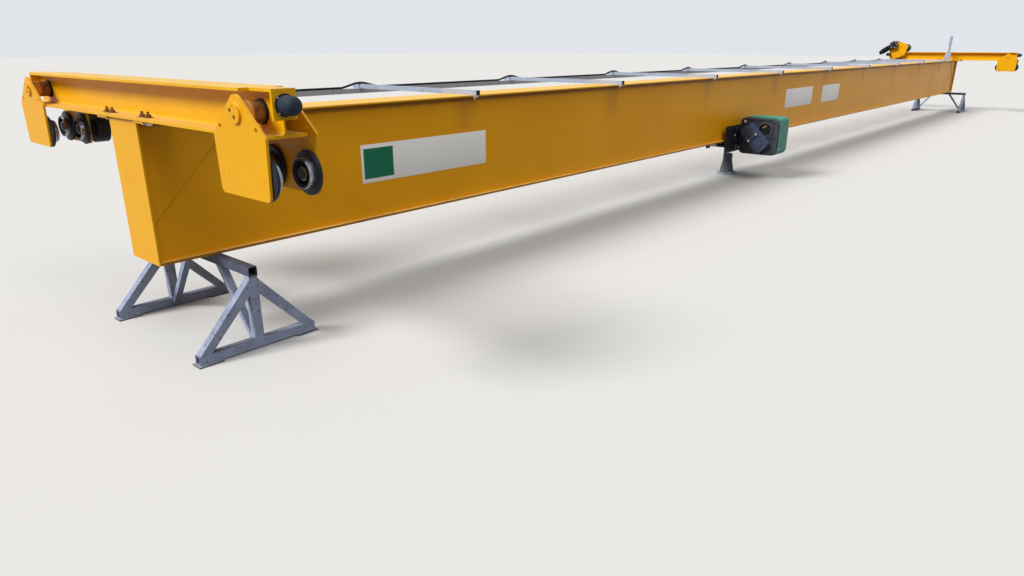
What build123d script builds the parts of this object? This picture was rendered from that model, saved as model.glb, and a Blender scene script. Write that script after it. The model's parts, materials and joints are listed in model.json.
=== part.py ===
from math import acos, atan2, cos, degrees, hypot, radians, sin
import os

from build123d import *

os.makedirs("parts", exist_ok=True)

# Frame: X along the girder, Y across it with the hoist on the -Y side, Z up, floor at zero.
ends = {"near": -1, "far": 1}
sides = {"front": -1, "rear": 1}

# Box girder of four welded plates with a plate across each end
girder_length = 20000
girder_width = 330
girder_height = 768
underside_z = 470
top_flange_t = 10
bottom_flange_t = 15
web_t = 8
flange_overhang = 35
end_plate_t = 12
doubler_t = 6
doubler_leg = 540

# End carriage: a rolled beam across the girder's top, and the pads that it is bolted to
beam_height = 192
beam_width = 200
beam_flange_t = 12
beam_web_t = 8
beam_root_r = 18
beam_inset = 80
carriage_length = 2820
head_plate_width = 108
head_plate_height = 121
head_plate_t = 12
top_notch_length = 165
pad_reach = 120
pad_t = 12
buffer_ring_d = 90
buffer_ring_t = 6
buffer_d = 78
buffer_straight = 44
buffer_length = 88
buffer_drop = 3

# Wheel truck: two side plates on a pin through the beam's web, two wheels on each plate
boss_end_gap = 4
pin_to_head = 165
pin_d = 50
pin_fit = 0.05
boss_d = 90
truck_gap = 216
truck_plate_t = 12
truck_half_width = 200
truck_shoulder_drop = 92
truck_foot_drop = 336
truck_apex_rise = 73
truck_apex_r = 52
truck_shoulder_r = 14
truck_foot_r = 26
truck_foot_taper = 10
lift_hole_x = 139
lift_hole_drop = 56
lift_hole_d = 19
collar_d = 84
collar_reach = 10
keeper_d = 80
keeper_t = 10

# Flanged wheel on a stub axle
wheel_offset = 135
wheel_drop = 247
wheel_flange_d = 190
wheel_flange_t = 16
wheel_tread_d = 132
wheel_width = 44
wheel_recess_d = 108
wheel_recess_depth = 24
wheel_hub_d = 62
wheel_hub_inset = 8
axle_d = 40
wheel_edge = 4
wheel_root = 6
tread_edge = 3
wheel_side_gap = 3
wheel_fit = 0.05
axle_cap_d = 50
axle_cap_t = 4
axle_cap_gap = 1

# The trucks hang plumb, apart from the far rear one, which is thrown up and leans inboard
# until a wheel is over the beam's top flange, this far clear of it.
lean_clearance = 5

# Drive: a gearbox on the outside of a truck plate and the motor that points away from it
gearbox_d = 178
gearbox_t = 78
gearbox_gap = 30
gearbox_seat_d = 106
motor_d = 128
motor_length = 190
motor_angle = 128
motor_cap_d = 98
motor_cap_length = 62
motor_start = 62

# Trestles of square tube
tube = 50
tube_wall = 3
trestle_inset = 321
trestle_base_length = 696
trestle_beam_length = 1080
trestle_leg_y = 510
foot_pad_t = 8
foot_pad_length = 120
strut_toe = 8
strut_foot = 62
strut_drop = 20
strut_head = 80
brace_tube = 40
brace_foot_rise = 4
brace_head = 48
brace_top_y = 215

# Cable arms laid across the top flange, and the track under their rear ends
arm_count = 9
arm_first_inset = 2445
arm_last_inset = 1715
arm_tube = 35
arm_wall = 3
arm_front_y = 195
arm_overhang = 75
cap_t = 4
clamp_width = 34
clamp_t = 5
clamp_lip = 15
clamp_lap = 20
track_width = 40
track_height = 40
track_wall = 3
track_lip = 9
track_y = 1215
track_slot_depth = 9
track_near_inset = 900
track_far_inset = 500

# Feed cable laid along the track and lifted over each arm
cable_d = 18
cable_seat_gap = 0.3
cable_crest_half = 40
cable_foot_half = 190
cable_bend_r = 110

# Feed post on the far end of the girder
post_inset = 380
post_base_height = 175
post_base_width = 130
post_base_t = 12
post_tube = 50
post_height = 574
post_foot_gap = 20

# Trolley on the bottom flange: two long side plates joined under the flange by tie bars
trolley_inset = 7340
trolley_length = 1060
trolley_gap = 14
trolley_plate_t = 12
trolley_top_z = 655
trolley_bottom_z = 335
trolley_rear_edge_z = 425
trolley_corner_r = 24
slot_width = 22
slot_height = 170
slot_pitch = 84
slot_count = 3
slot_rise = 20
trolley_wheel_d = 104
trolley_wheel_width = 26
trolley_wheel_inset = 200
rail_clearance = 0.3
web_clearance = 13
tie_bar_d = 50
tie_bar_z = 386
tie_bar_inset = 320
tie_lug_width = 110
nut_t = 24
rear_nut_t = 100
nut_d = 58

# Chain guide carried by the tie bars, over the middle of the trolley
guide_bar_width = 60
guide_bar_t = 24
guide_length = 180
guide_width = 120
guide_t = 40
guide_hole_gap = 0.5

# Hoist hung outside the front trolley plate
hoist_width = 452
hoist_height = 436
hoist_length = 400
hoist_bottom_z = 312
hoist_y_gap = 28
casting_t = 70
casting_corner_r = 58
rib_height = 14
rim_width = 20
rib_width = 14
port_d = 146
port_collar_d = 200
port_depth = 40
port_offset = 84
cover_corner_r = 70
cover_margin = 8
cover_edge_r = 40
gearcase_length = 350
gearcase_width = 190
gearcase_t = 52
gearcase_corner_r = 24
gearcase_shift = 22
gearcase_angle = 45
gearhead_length = 170
gearhead_width = 150
gearhead_t = 24
bearing_cap_d = 110
bearing_cap_t = 12
bracket_lap = 140
bracket_height = 56
bracket_rows = [480, 600]

# Chain block standing on the floor under the trolley, on two falls of chain
block_base_d = 250
block_rim_z = 20
block_base_t = 34
block_body_d = 176
block_neck_d = 116
block_neck_z = 184
block_height = 262
fall_d = 14
fall_spread = 46
fall_top_z = 376

# How near a corner must be to count as on a line, and how far a cut runs past a face
reach_tolerance = 1
cut_past = 2

# Worked out from the sizes above
end_x = girder_length / 2
top_z = underside_z + girder_height
web_face_y = girder_width / 2 - flange_overhang
beam_x = end_x - beam_inset
beam_mid_z = top_z + beam_height / 2
beam_top_z = top_z + beam_height
head_y = carriage_length / 2
pin_y = head_y - pin_to_head
half_gap = truck_gap / 2
wheel_r = wheel_flange_d / 2
wheel_reach = hypot(wheel_offset, wheel_drop)
lean = degrees(acos((beam_height / 2 + wheel_r + lean_clearance) / wheel_reach))
lean -= degrees(atan2(wheel_offset, wheel_drop))
arm_rear_y = track_y + arm_overhang
arm_pitch = (girder_length - arm_first_inset - arm_last_inset) / (arm_count - 1)
swings = {
    ("near", "front"): 0,
    ("near", "rear"): 0,
    ("far", "front"): 0,
    ("far", "rear"): 180 + lean,
}
drive_side = "rear"
trestle_x = end_x - trestle_inset
plate_y = girder_width / 2 + trolley_gap
hoist_y = plate_y + trolley_plate_t + hoist_y_gap + hoist_width / 2
hoist_z = hoist_bottom_z + hoist_height / 2
trolley_x = trolley_inset - end_x
tie_bar_xs = [trolley_x + hand * (trolley_length / 2 - tie_bar_inset) for hand in (-1, 1)]
casting_x = trolley_x - hoist_length / 2


def save(piece, name):
    """Label a finished piece and write it under its node's name."""
    piece.part.label = name
    export_step(piece.part, "parts/" + name + ".step")


def truck_plane(end, side):
    """Plane at a truck's pin: x outboard and y up, turned with the truck about the pin."""
    out = sides[side]
    swing = radians(swings[(end, side)])
    pin = (ends[end] * beam_x, out * pin_y, beam_mid_z)
    return Plane(origin=pin, x_dir=(0, out * cos(swing), sin(swing)), z_dir=(out, 0, 0))


def slab(length, width, height, centre):
    """Add a box given by its centre to the piece being built."""
    with Locations(centre):
        Box(length, width, height)


# Box girder
def girder():
    clear_length = girder_length - 2 * end_plate_t
    with BuildPart() as top_flange:
        slab(clear_length, girder_width, top_flange_t, (0, 0, top_z - top_flange_t / 2))
    save(top_flange, "girder_top_flange")

    with BuildPart() as bottom_flange:
        slab(clear_length, girder_width, bottom_flange_t, (0, 0, underside_z + bottom_flange_t / 2))
    save(bottom_flange, "girder_bottom_flange")

    web_height = girder_height - top_flange_t - bottom_flange_t
    web_z = underside_z + bottom_flange_t + web_height / 2
    with BuildPart() as webs:
        for out in sides.values():
            slab(clear_length, web_t, web_height, (0, out * (web_face_y - web_t / 2), web_z))
    save(webs, "girder_webs")

    with BuildPart() as end_plates:
        for end in ends.values():
            x = end * (end_x - end_plate_t / 2)
            slab(end_plate_t, girder_width, girder_height, (x, 0, underside_z + girder_height / 2))
    save(end_plates, "girder_end_plates")

    under_flange_z = top_z - top_flange_t
    with BuildPart() as doublers:
        for end in ends.values():
            x = end * (end_x - end_plate_t)
            for out in sides.values():
                with BuildSketch(Plane.XZ.offset(-out * web_face_y)):
                    with BuildLine():
                        Polyline(
                            (x, under_flange_z),
                            (x - end * doubler_leg, under_flange_z),
                            (x, under_flange_z - doubler_leg),
                            close=True,
                        )
                    make_face()
                extrude(amount=-out * doubler_t)
    save(doublers, "girder_web_doublers")

    with BuildPart() as pads:
        for end in ends.values():
            for out in sides.values():
                y = out * (girder_width / 2 + pad_reach / 2)
                slab(beam_width - end_plate_t, pad_reach, pad_t, (end * beam_x, y, top_z - pad_t / 2))
    save(pads, "carriage_pads")


# End carriages
def carriage_beam(end):
    x = ends[end] * beam_x
    flange_length = carriage_length - 2 * head_plate_t
    with BuildPart() as beam:
        with BuildSketch(Plane.XZ):
            with Locations((x, top_z + beam_flange_t / 2), (x, beam_top_z - beam_flange_t / 2)):
                Rectangle(beam_width, beam_flange_t)
            with Locations((x, beam_mid_z)):
                Rectangle(beam_web_t, beam_height - beam_flange_t)
            roots = [v for v in vertices() if abs(abs(v.X - x) - beam_web_t / 2) < reach_tolerance]
            fillet(roots, beam_root_r)
        extrude(amount=flange_length / 2, both=True)
        notch_width = (beam_width - head_plate_width) / 2
        with BuildSketch(Plane.XY.offset(beam_top_z)):
            for out in sides.values():
                for hand in (-1, 1):
                    notch_x = x + hand * (head_plate_width + notch_width) / 2
                    with Locations((notch_x, out * (head_y - top_notch_length / 2))):
                        Rectangle(notch_width, top_notch_length)
        extrude(amount=-beam_flange_t - cut_past, mode=Mode.SUBTRACT)
        with BuildSketch(Plane.YZ.offset(x)):
            with Locations((pin_y, beam_mid_z), (-pin_y, beam_mid_z)):
                Circle(boss_d / 2)
        extrude(amount=beam_web_t, both=True, mode=Mode.SUBTRACT)
    save(beam, end + "_carriage_beam")


def carriage_fittings():
    boss_length = truck_gap - 2 * (collar_reach + boss_end_gap)
    with BuildPart() as bosses:
        for end in ends.values():
            for out in sides.values():
                with BuildSketch(Plane.YZ.offset(end * beam_x)):
                    with Locations((out * pin_y, beam_mid_z)):
                        Circle(boss_d / 2)
                        Circle(pin_d / 2 + pin_fit, mode=Mode.SUBTRACT)
                extrude(amount=boss_length / 2, both=True)
    save(bosses, "carriage_pin_bosses")

    head_z = beam_top_z - head_plate_height / 2
    with BuildPart() as heads:
        for end in ends.values():
            for out in sides.values():
                y = out * (head_y - head_plate_t / 2)
                slab(head_plate_width, head_plate_t, head_plate_height, (end * beam_x, y, head_z))
    save(heads, "carriage_head_plates")

    side_r = buffer_d / 2
    with BuildPart() as buffers:
        for end in ends.values():
            for out in sides.values():
                base = Plane(
                    origin=(end * beam_x, out * head_y, head_z - buffer_drop),
                    x_dir=(0, out, 0),
                    z_dir=(-out, 0, 0),
                )
                with BuildSketch(base):
                    with BuildLine():
                        Polyline(
                            (buffer_length, 0),
                            (0, 0),
                            (0, buffer_ring_d / 2),
                            (buffer_ring_t, buffer_ring_d / 2),
                            (buffer_ring_t, side_r),
                            (buffer_straight, side_r),
                        )
                        Spline(
                            (buffer_straight, side_r),
                            (buffer_length, 0),
                            tangents=((1, 0), (0, -1)),
                        )
                    make_face()
                revolve(axis=Axis(base.origin, base.x_dir))
    save(buffers, "carriage_buffers")


# Wheel trucks
def truck_plates(end, side, name):
    plane = truck_plane(end, side)
    foot_x = truck_half_width - truck_foot_taper - truck_foot_r
    foot_y = truck_foot_r - truck_foot_drop
    shoulder_x = truck_half_width - truck_shoulder_r
    hub_face = wheel_width - wheel_hub_inset
    axle_length = wheel_side_gap + hub_face + axle_cap_t
    with BuildPart() as plates:
        for hand in (-1, 1):
            inner = plane.offset(hand * half_gap)
            with BuildSketch(inner):
                with Locations((0, truck_apex_rise - truck_apex_r)):
                    Circle(truck_apex_r)
                with Locations((-shoulder_x, -truck_shoulder_drop), (shoulder_x, -truck_shoulder_drop)):
                    Circle(truck_shoulder_r)
                with Locations((-foot_x, foot_y), (foot_x, foot_y)):
                    Circle(truck_foot_r)
                make_hull()
                with Locations((-lift_hole_x, -lift_hole_drop), (lift_hole_x, -lift_hole_drop)):
                    Circle(lift_hole_d / 2, mode=Mode.SUBTRACT)
            extrude(amount=hand * truck_plate_t)
            with BuildSketch(inner):
                Circle(collar_d / 2)
            extrude(amount=-hand * collar_reach)
            with BuildSketch(inner):
                with Locations((-wheel_offset, -wheel_drop), (wheel_offset, -wheel_drop)):
                    Circle(axle_d / 2)
            extrude(amount=-hand * axle_length)
            with BuildSketch(plane.offset(hand * (half_gap - axle_length))):
                with Locations((-wheel_offset, -wheel_drop), (wheel_offset, -wheel_drop)):
                    Circle(axle_cap_d / 2)
            extrude(amount=hand * (axle_cap_t - axle_cap_gap))
        with BuildSketch(plane):
            Circle(pin_d / 2)
        extrude(amount=truck_gap, both=True, mode=Mode.SUBTRACT)
    save(plates, name + "_plates")


def truck_pin(end, side, name):
    plane = truck_plane(end, side)
    outer = half_gap + truck_plate_t
    with BuildPart() as pin:
        with BuildSketch(plane):
            Circle(pin_d / 2)
        extrude(amount=outer, both=True)
        for hand in (-1, 1):
            with BuildSketch(plane.offset(hand * outer)):
                Circle(keeper_d / 2)
            extrude(amount=hand * keeper_t)
    save(pin, name + "_pin")


def truck_wheel(end, side, hand, wheel_x, name):
    plane = truck_plane(end, side)
    hub = plane.from_local_coords((wheel_x, -wheel_drop, hand * half_gap))
    inward = plane.z_dir * -hand
    turned = Plane(origin=hub, x_dir=plane.x_dir, z_dir=plane.x_dir.cross(inward))
    start = wheel_side_gap
    flange_z = start + wheel_flange_t
    face_z = start + wheel_width
    tread_r = wheel_tread_d / 2
    recess_r = wheel_recess_d / 2
    bore_r = axle_d / 2 + wheel_fit
    with BuildPart() as wheel:
        with BuildSketch(turned):
            with BuildLine():
                Polyline(
                    (bore_r, start),
                    (wheel_r - wheel_edge, start),
                    (wheel_r, start + wheel_edge),
                    (wheel_r, flange_z - wheel_root),
                    (wheel_r - wheel_root, flange_z),
                    (tread_r, flange_z),
                    (tread_r, face_z - tread_edge),
                    (tread_r - tread_edge, face_z),
                    (recess_r, face_z),
                    (recess_r - wheel_root, face_z - wheel_recess_depth),
                    (wheel_hub_d / 2, face_z - wheel_recess_depth),
                    (wheel_hub_d / 2, face_z - wheel_hub_inset),
                    (bore_r, face_z - wheel_hub_inset),
                    close=True,
                )
            make_face()
        revolve(axis=Axis(hub, inward))
    save(wheel, name)


def truck_drive(end, side):
    """Gearbox on the plate that faces the girder's middle, with its motor pointing away."""
    plane = truck_plane(end, side)
    hand = -ends[end] * sides[side]
    face = plane.offset(hand * (half_gap + truck_plate_t))
    middle = plane.offset(hand * (half_gap + truck_plate_t + gearbox_gap + gearbox_t / 2))
    aim = radians(motor_angle)
    with BuildPart() as gearbox:
        with BuildSketch(face):
            with Locations((-wheel_offset, -wheel_drop)):
                Circle(gearbox_seat_d / 2)
        extrude(amount=hand * gearbox_gap)
        with BuildSketch(face.offset(hand * gearbox_gap)):
            with Locations((-wheel_offset, -wheel_drop)):
                Circle(gearbox_d / 2)
            along = (motor_start / 2, motor_start)
            with Locations(*[(-wheel_offset + a * cos(aim), -wheel_drop + a * sin(aim)) for a in along]):
                Circle(motor_d / 2)
            make_hull()
        extrude(amount=hand * gearbox_t)
    save(gearbox, end + "_drive_gearbox")

    root = middle.from_local_coords((-wheel_offset, -wheel_drop, 0))
    direction = plane.x_dir * cos(aim) + plane.y_dir * sin(aim)
    shell_start = motor_start + motor_d / 2
    barrel = Plane(origin=root + direction * shell_start, x_dir=plane.z_dir, z_dir=direction)
    with BuildPart() as motor:
        with BuildSketch(barrel):
            Circle(motor_d / 2)
        extrude(amount=motor_length)
        with BuildSketch(barrel.offset(motor_length)):
            Circle(motor_cap_d / 2)
        extrude(amount=motor_cap_length)
    save(motor, end + "_drive_motor")


def trucks():
    for end in ends:
        for side in sides:
            name = "truck_" + end + "_" + side
            truck_plates(end, side, name)
            truck_pin(end, side, name)
            for hand, face in ((-1, "a"), (1, "b")):
                truck_wheel(end, side, hand, wheel_offset, name + "_wheel_" + face + "1")
                truck_wheel(end, side, hand, -wheel_offset, name + "_wheel_" + face + "2")
        truck_drive(end, drive_side)


# Trestles
def trestle(end):
    x = ends[end] * trestle_x
    beam_under = underside_z - tube
    half = trestle_base_length / 2
    base_z = foot_pad_t
    face_y = trestle_leg_y - tube / 2
    with BuildPart() as frames:
        for out in sides.values():
            outer_face = Plane.XZ.offset(-out * (trestle_leg_y + tube / 2))
            with BuildSketch(outer_face):
                with Locations((x, base_z + tube / 2)):
                    Rectangle(trestle_base_length, tube)
                with Locations((x, (base_z + beam_under) / 2)):
                    Rectangle(tube, beam_under - base_z)
                for hand in (-1, 1):
                    with BuildLine():
                        Polyline(
                            (x + hand * (half - strut_toe), base_z + tube),
                            (x + hand * (half - strut_toe - strut_foot), base_z + tube),
                            (x + hand * tube / 2, beam_under - strut_drop - strut_head),
                            (x + hand * tube / 2, beam_under - strut_drop),
                            close=True,
                        )
                    make_face()
            extrude(amount=out * tube)
            for hand in (-1, 1):
                pad_x = x + hand * (half - foot_pad_length / 2)
                slab(foot_pad_length, tube, foot_pad_t, (pad_x, out * trestle_leg_y, foot_pad_t / 2))
        with BuildSketch(Plane.YZ.offset(x)):
            for out in sides.values():
                with BuildLine():
                    Polyline(
                        (out * face_y, base_z + brace_foot_rise),
                        (out * face_y, base_z + tube),
                        (out * brace_top_y, beam_under),
                        (out * (brace_top_y - brace_head), beam_under),
                        close=True,
                    )
                make_face()
        extrude(amount=brace_tube / 2, both=True)
        bore = tube - 2 * tube_wall
        with BuildSketch(Plane.YZ.offset(x)):
            with Locations((trestle_leg_y, base_z + tube / 2), (-trestle_leg_y, base_z + tube / 2)):
                Rectangle(bore, bore)
        extrude(amount=half, both=True, mode=Mode.SUBTRACT)
    save(frames, end + "_trestle_frames")

    with BuildPart() as beam:
        with BuildSketch(Plane.XZ):
            with Locations((x, underside_z - tube / 2)):
                Rectangle(tube, tube)
                Rectangle(tube - 2 * tube_wall, tube - 2 * tube_wall, mode=Mode.SUBTRACT)
        extrude(amount=trestle_beam_length / 2, both=True)
    save(beam, end + "_trestle_beam")


# Cable arms, track and cables
def cable_gear():
    arm_xs = [arm_first_inset + i * arm_pitch - end_x for i in range(arm_count)]
    arm_z = top_z + arm_tube / 2
    arm_length = arm_rear_y + arm_front_y
    arm_y = (arm_rear_y - arm_front_y) / 2
    with BuildPart() as arms:
        for x in arm_xs:
            with BuildSketch(Plane.XZ.offset(-arm_rear_y)):
                with Locations((x, arm_z)):
                    Rectangle(arm_tube, arm_tube)
                    Rectangle(arm_tube - 2 * arm_wall, arm_tube - 2 * arm_wall, mode=Mode.SUBTRACT)
            extrude(amount=arm_length)
    save(arms, "cable_arms")

    with BuildPart() as caps:
        for x in arm_xs:
            slab(arm_tube, cap_t, arm_tube, (x, -arm_front_y - cap_t / 2, arm_z))
            slab(arm_tube, cap_t, arm_tube, (x, arm_rear_y + cap_t / 2, arm_z))
    save(caps, "cable_arm_caps")

    edge_y = girder_width / 2
    under_z = top_z - top_flange_t
    with BuildPart() as clamps:
        for x in arm_xs:
            with BuildSketch(Plane.YZ.offset(x)):
                with BuildLine():
                    Polyline(
                        (-edge_y, top_z),
                        (-edge_y - clamp_lip, top_z),
                        (-edge_y - clamp_lip, under_z - clamp_t),
                        (-edge_y + clamp_lap, under_z - clamp_t),
                        (-edge_y + clamp_lap, under_z),
                        (-edge_y, under_z),
                        close=True,
                    )
                make_face()
            extrude(amount=clamp_width / 2, both=True)
    save(clamps, "cable_arm_clamps")

    track_length = girder_length - track_near_inset - track_far_inset
    track_x = (track_near_inset - track_far_inset) / 2
    with BuildPart() as track:
        with BuildSketch(Plane.YZ.offset(track_x)):
            with Locations((track_y, top_z - track_height / 2)):
                Rectangle(track_width, track_height)
                Rectangle(
                    track_width - 2 * track_wall,
                    track_height - 2 * track_wall,
                    mode=Mode.SUBTRACT,
                )
            with Locations((track_y, top_z - track_height)):
                Rectangle(track_width - 2 * track_lip, 2 * track_slot_depth, mode=Mode.SUBTRACT)
        extrude(amount=track_length / 2, both=True)
    save(track, "cable_track")

    low_z = top_z + cable_seat_gap + cable_d / 2
    high_z = low_z + arm_tube
    track_ends = (track_x - track_length / 2, track_x + track_length / 2)
    with BuildPart() as cable:
        with BuildLine(Plane.XZ.offset(-track_y)) as route:
            points = [(track_ends[0], low_z)]
            for x in arm_xs:
                points += [(x - cable_foot_half, low_z), (x - cable_crest_half, high_z)]
                points += [(x + cable_crest_half, high_z), (x + cable_foot_half, low_z)]
            points.append((track_ends[1], low_z))
            FilletPolyline(*points, radius=cable_bend_r)
        with BuildSketch(Plane(origin=route.line @ 0, z_dir=(1, 0, 0))):
            Circle(cable_d / 2)
        sweep()
    save(cable, "feed_cable")


def feed_post():
    x = end_x - post_inset
    tube_length = post_height - post_foot_gap
    tube_x = x + (post_tube + post_base_t) / 2
    with BuildPart() as post:
        slab(post_base_t, post_base_width, post_base_height, (x, 0, top_z + post_base_height / 2))
        slab(post_tube, post_tube, tube_length, (tube_x, 0, top_z + post_foot_gap + tube_length / 2))
    save(post, "feed_post")


# Trolley and hoist
def trolley():
    mid_z = (trolley_top_z + trolley_bottom_z) / 2
    wheel_xs = [trolley_x + hand * (trolley_length / 2 - trolley_wheel_inset) for hand in (-1, 1)]
    slot_steps = [(i - (slot_count - 1) / 2) * slot_pitch for i in range(slot_count)]
    with BuildPart() as plates:
        for out in sides.values():
            edge_z = trolley_rear_edge_z if out > 0 else trolley_bottom_z
            with BuildSketch(Plane.XZ.offset(-out * plate_y)):
                with Locations((trolley_x, (trolley_top_z + edge_z) / 2)):
                    RectangleRounded(trolley_length, trolley_top_z - edge_z, trolley_corner_r)
                with Locations(*[(x, (mid_z + trolley_bottom_z) / 2) for x in tie_bar_xs]):
                    Rectangle(tie_lug_width, mid_z - trolley_bottom_z)
                with Locations(*[(x + step, mid_z + slot_rise) for x in wheel_xs for step in slot_steps]):
                    SlotOverall(slot_height, slot_width, rotation=90, mode=Mode.SUBTRACT)
            extrude(amount=-out * trolley_plate_t)
    save(plates, "trolley_plates")

    rail_z = underside_z + bottom_flange_t + rail_clearance
    tread_r = trolley_wheel_d / 2
    wheel_face_y = web_face_y + web_clearance
    with BuildPart() as wheels:
        for out in sides.values():
            with BuildSketch(Plane.XZ.offset(-out * plate_y)):
                with Locations(*[(x, rail_z + tread_r) for x in wheel_xs]):
                    Circle(axle_d / 2)
            extrude(amount=out * (plate_y - wheel_face_y))
            with BuildSketch(Plane.XZ.offset(-out * wheel_face_y)):
                with Locations(*[(x, rail_z + tread_r) for x in wheel_xs]):
                    Circle(tread_r)
            extrude(amount=-out * trolley_wheel_width)
    save(wheels, "trolley_wheels")

    with BuildPart() as bars:
        for x in tie_bar_xs:
            with BuildSketch(Plane.XZ):
                with Locations((x, tie_bar_z)):
                    Circle(tie_bar_d / 2)
            extrude(amount=plate_y, both=True)
            for out in sides.values():
                with BuildSketch(Plane.XZ.offset(-out * (plate_y + trolley_plate_t))):
                    with Locations((x, tie_bar_z)):
                        RegularPolygon(nut_d / 2, 6)
                extrude(amount=-out * (rear_nut_t if out > 0 else nut_t))
        slab(tie_bar_xs[1] - tie_bar_xs[0], guide_bar_width, guide_bar_t, (trolley_x, 0, tie_bar_z))
        slab(guide_length, guide_width, guide_t, (trolley_x, 0, tie_bar_z))
        with BuildSketch(Plane.XY.offset(tie_bar_z)):
            with Locations((trolley_x, -fall_spread / 2), (trolley_x, fall_spread / 2)):
                Circle(fall_d / 2 + guide_hole_gap)
        extrude(amount=guide_t, both=True, mode=Mode.SUBTRACT)
    save(bars, "trolley_tie_bars")


def gearcase_outline():
    """Slanted outline of the hoist's gear case, from upper rear to lower front."""
    with BuildSketch(Plane.YZ.offset(casting_x)) as outline:
        with Locations(Location((-hoist_y + gearcase_shift, hoist_z - gearcase_shift), -gearcase_angle)):
            RectangleRounded(gearcase_width, gearcase_length, gearcase_corner_r)
    return outline.sketch


def hoist():
    face_y = -(plate_y + trolley_plate_t)
    bracket_length = bracket_lap + casting_t
    bracket_x = casting_x + casting_t - bracket_length / 2
    with BuildPart() as bracket:
        for z in bracket_rows:
            slab(bracket_length, hoist_y_gap, bracket_height, (bracket_x, face_y - hoist_y_gap / 2, z))
    save(bracket, "hoist_bracket")

    end_plane = Plane.YZ.offset(casting_x)
    floor_plane = end_plane.offset(rib_height)
    port_at = (-hoist_y - port_offset, hoist_z + port_offset)
    with BuildPart() as casting:
        with BuildSketch(floor_plane):
            with Locations((-hoist_y, hoist_z)):
                RectangleRounded(hoist_width, hoist_height, casting_corner_r)
        extrude(amount=casting_t - rib_height)
        with BuildSketch(floor_plane):
            with Locations((-hoist_y, hoist_z)):
                RectangleRounded(hoist_width, hoist_height, casting_corner_r)
                RectangleRounded(
                    hoist_width - 2 * rim_width,
                    hoist_height - 2 * rim_width,
                    casting_corner_r - rim_width,
                    mode=Mode.SUBTRACT,
                )
                Rectangle(rib_width, hoist_height - rim_width)
                Rectangle(hoist_width - rim_width, rib_width)
            with Locations(port_at):
                Circle(port_collar_d / 2)
        extrude(amount=-rib_height)
        with BuildSketch(end_plane):
            with Locations(port_at):
                Circle(port_d / 2)
        extrude(amount=port_depth, mode=Mode.SUBTRACT)
        extrude(gearcase_outline(), amount=rib_height, mode=Mode.SUBTRACT)
    save(casting, "hoist_end_casting")

    slant = Plane(
        origin=(casting_x - gearcase_t, -hoist_y + gearcase_shift, hoist_z - gearcase_shift),
        x_dir=(0, -sin(radians(gearcase_angle)), -cos(radians(gearcase_angle))),
        z_dir=(-1, 0, 0),
    )
    head_x = gearhead_length / 2 - gearcase_length / 2
    cap_x = gearcase_length / 2 - gearcase_width / 2
    with BuildPart() as gearcase:
        extrude(gearcase_outline(), amount=rib_height)
        extrude(gearcase_outline(), amount=-gearcase_t)
        with BuildSketch(slant):
            with Locations((head_x, 0)):
                RectangleRounded(gearhead_length, gearhead_width, gearcase_corner_r)
        extrude(amount=gearhead_t)
        with BuildSketch(slant):
            with Locations((cap_x, 0)):
                Circle(bearing_cap_d / 2)
        extrude(amount=bearing_cap_t)
    save(gearcase, "hoist_gear_case")

    with BuildPart() as cover:
        with BuildSketch(end_plane.offset(casting_t)):
            with Locations((-hoist_y, hoist_z)):
                RectangleRounded(
                    hoist_width + 2 * cover_margin,
                    hoist_height + 2 * cover_margin,
                    cover_corner_r,
                )
        extrude(amount=hoist_length - casting_t)
        fillet(cover.faces().sort_by(Axis.X)[-1].edges(), cover_edge_r)
    save(cover, "hoist_cover")


def chain_block():
    stand = Plane(origin=(trolley_x, 0, 0), x_dir=(1, 0, 0), z_dir=(0, -1, 0))
    with BuildPart() as block:
        with BuildSketch(stand):
            with BuildLine():
                Polyline(
                    (0, 0),
                    (block_base_d / 2, 0),
                    (block_base_d / 2, block_rim_z),
                    (block_body_d / 2, block_base_t),
                    (block_neck_d / 2, block_neck_z),
                    (block_neck_d / 2, block_height),
                    (0, block_height),
                    close=True,
                )
            make_face()
        revolve(axis=Axis(stand.origin, (0, 0, 1)))
    save(block, "chain_block")

    with BuildPart() as falls:
        with BuildSketch(Plane.XY.offset(block_height)):
            with Locations((trolley_x, -fall_spread / 2), (trolley_x, fall_spread / 2)):
                Circle(fall_d / 2)
        extrude(amount=fall_top_z - block_height)
    save(falls, "load_chain")


girder()
for end_name in ends:
    carriage_beam(end_name)
    trestle(end_name)
carriage_fittings()
trucks()
cable_gear()
feed_post()
trolley()
hoist()
chain_block()
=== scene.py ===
import json
import math

import bmesh
import bpy
from mathutils import Matrix, Vector


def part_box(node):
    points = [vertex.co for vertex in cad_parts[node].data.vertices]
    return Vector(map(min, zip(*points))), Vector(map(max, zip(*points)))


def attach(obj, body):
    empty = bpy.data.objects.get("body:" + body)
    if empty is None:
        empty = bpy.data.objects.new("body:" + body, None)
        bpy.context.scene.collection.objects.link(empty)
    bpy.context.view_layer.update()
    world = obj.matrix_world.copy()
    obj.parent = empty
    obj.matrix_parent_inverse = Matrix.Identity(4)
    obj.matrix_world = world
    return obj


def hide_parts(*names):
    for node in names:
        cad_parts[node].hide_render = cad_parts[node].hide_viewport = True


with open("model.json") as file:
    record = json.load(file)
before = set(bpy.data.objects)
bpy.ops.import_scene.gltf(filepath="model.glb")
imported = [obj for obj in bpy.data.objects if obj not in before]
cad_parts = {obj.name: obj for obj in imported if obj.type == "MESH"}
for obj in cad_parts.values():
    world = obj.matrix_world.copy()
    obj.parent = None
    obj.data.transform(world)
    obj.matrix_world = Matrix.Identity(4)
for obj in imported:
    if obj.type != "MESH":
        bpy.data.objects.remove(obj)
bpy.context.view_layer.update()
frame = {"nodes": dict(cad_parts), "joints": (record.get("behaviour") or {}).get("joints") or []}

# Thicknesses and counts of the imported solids, in metres, which their boxes don't tell
BEAM_FLANGE = 0.012
PAD_T = 0.012
PLATE_T = 0.012
KEEPER_T = 0.01
TROLLEY_PLATE_T = 0.012
ARM_HALF = 0.0175
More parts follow.
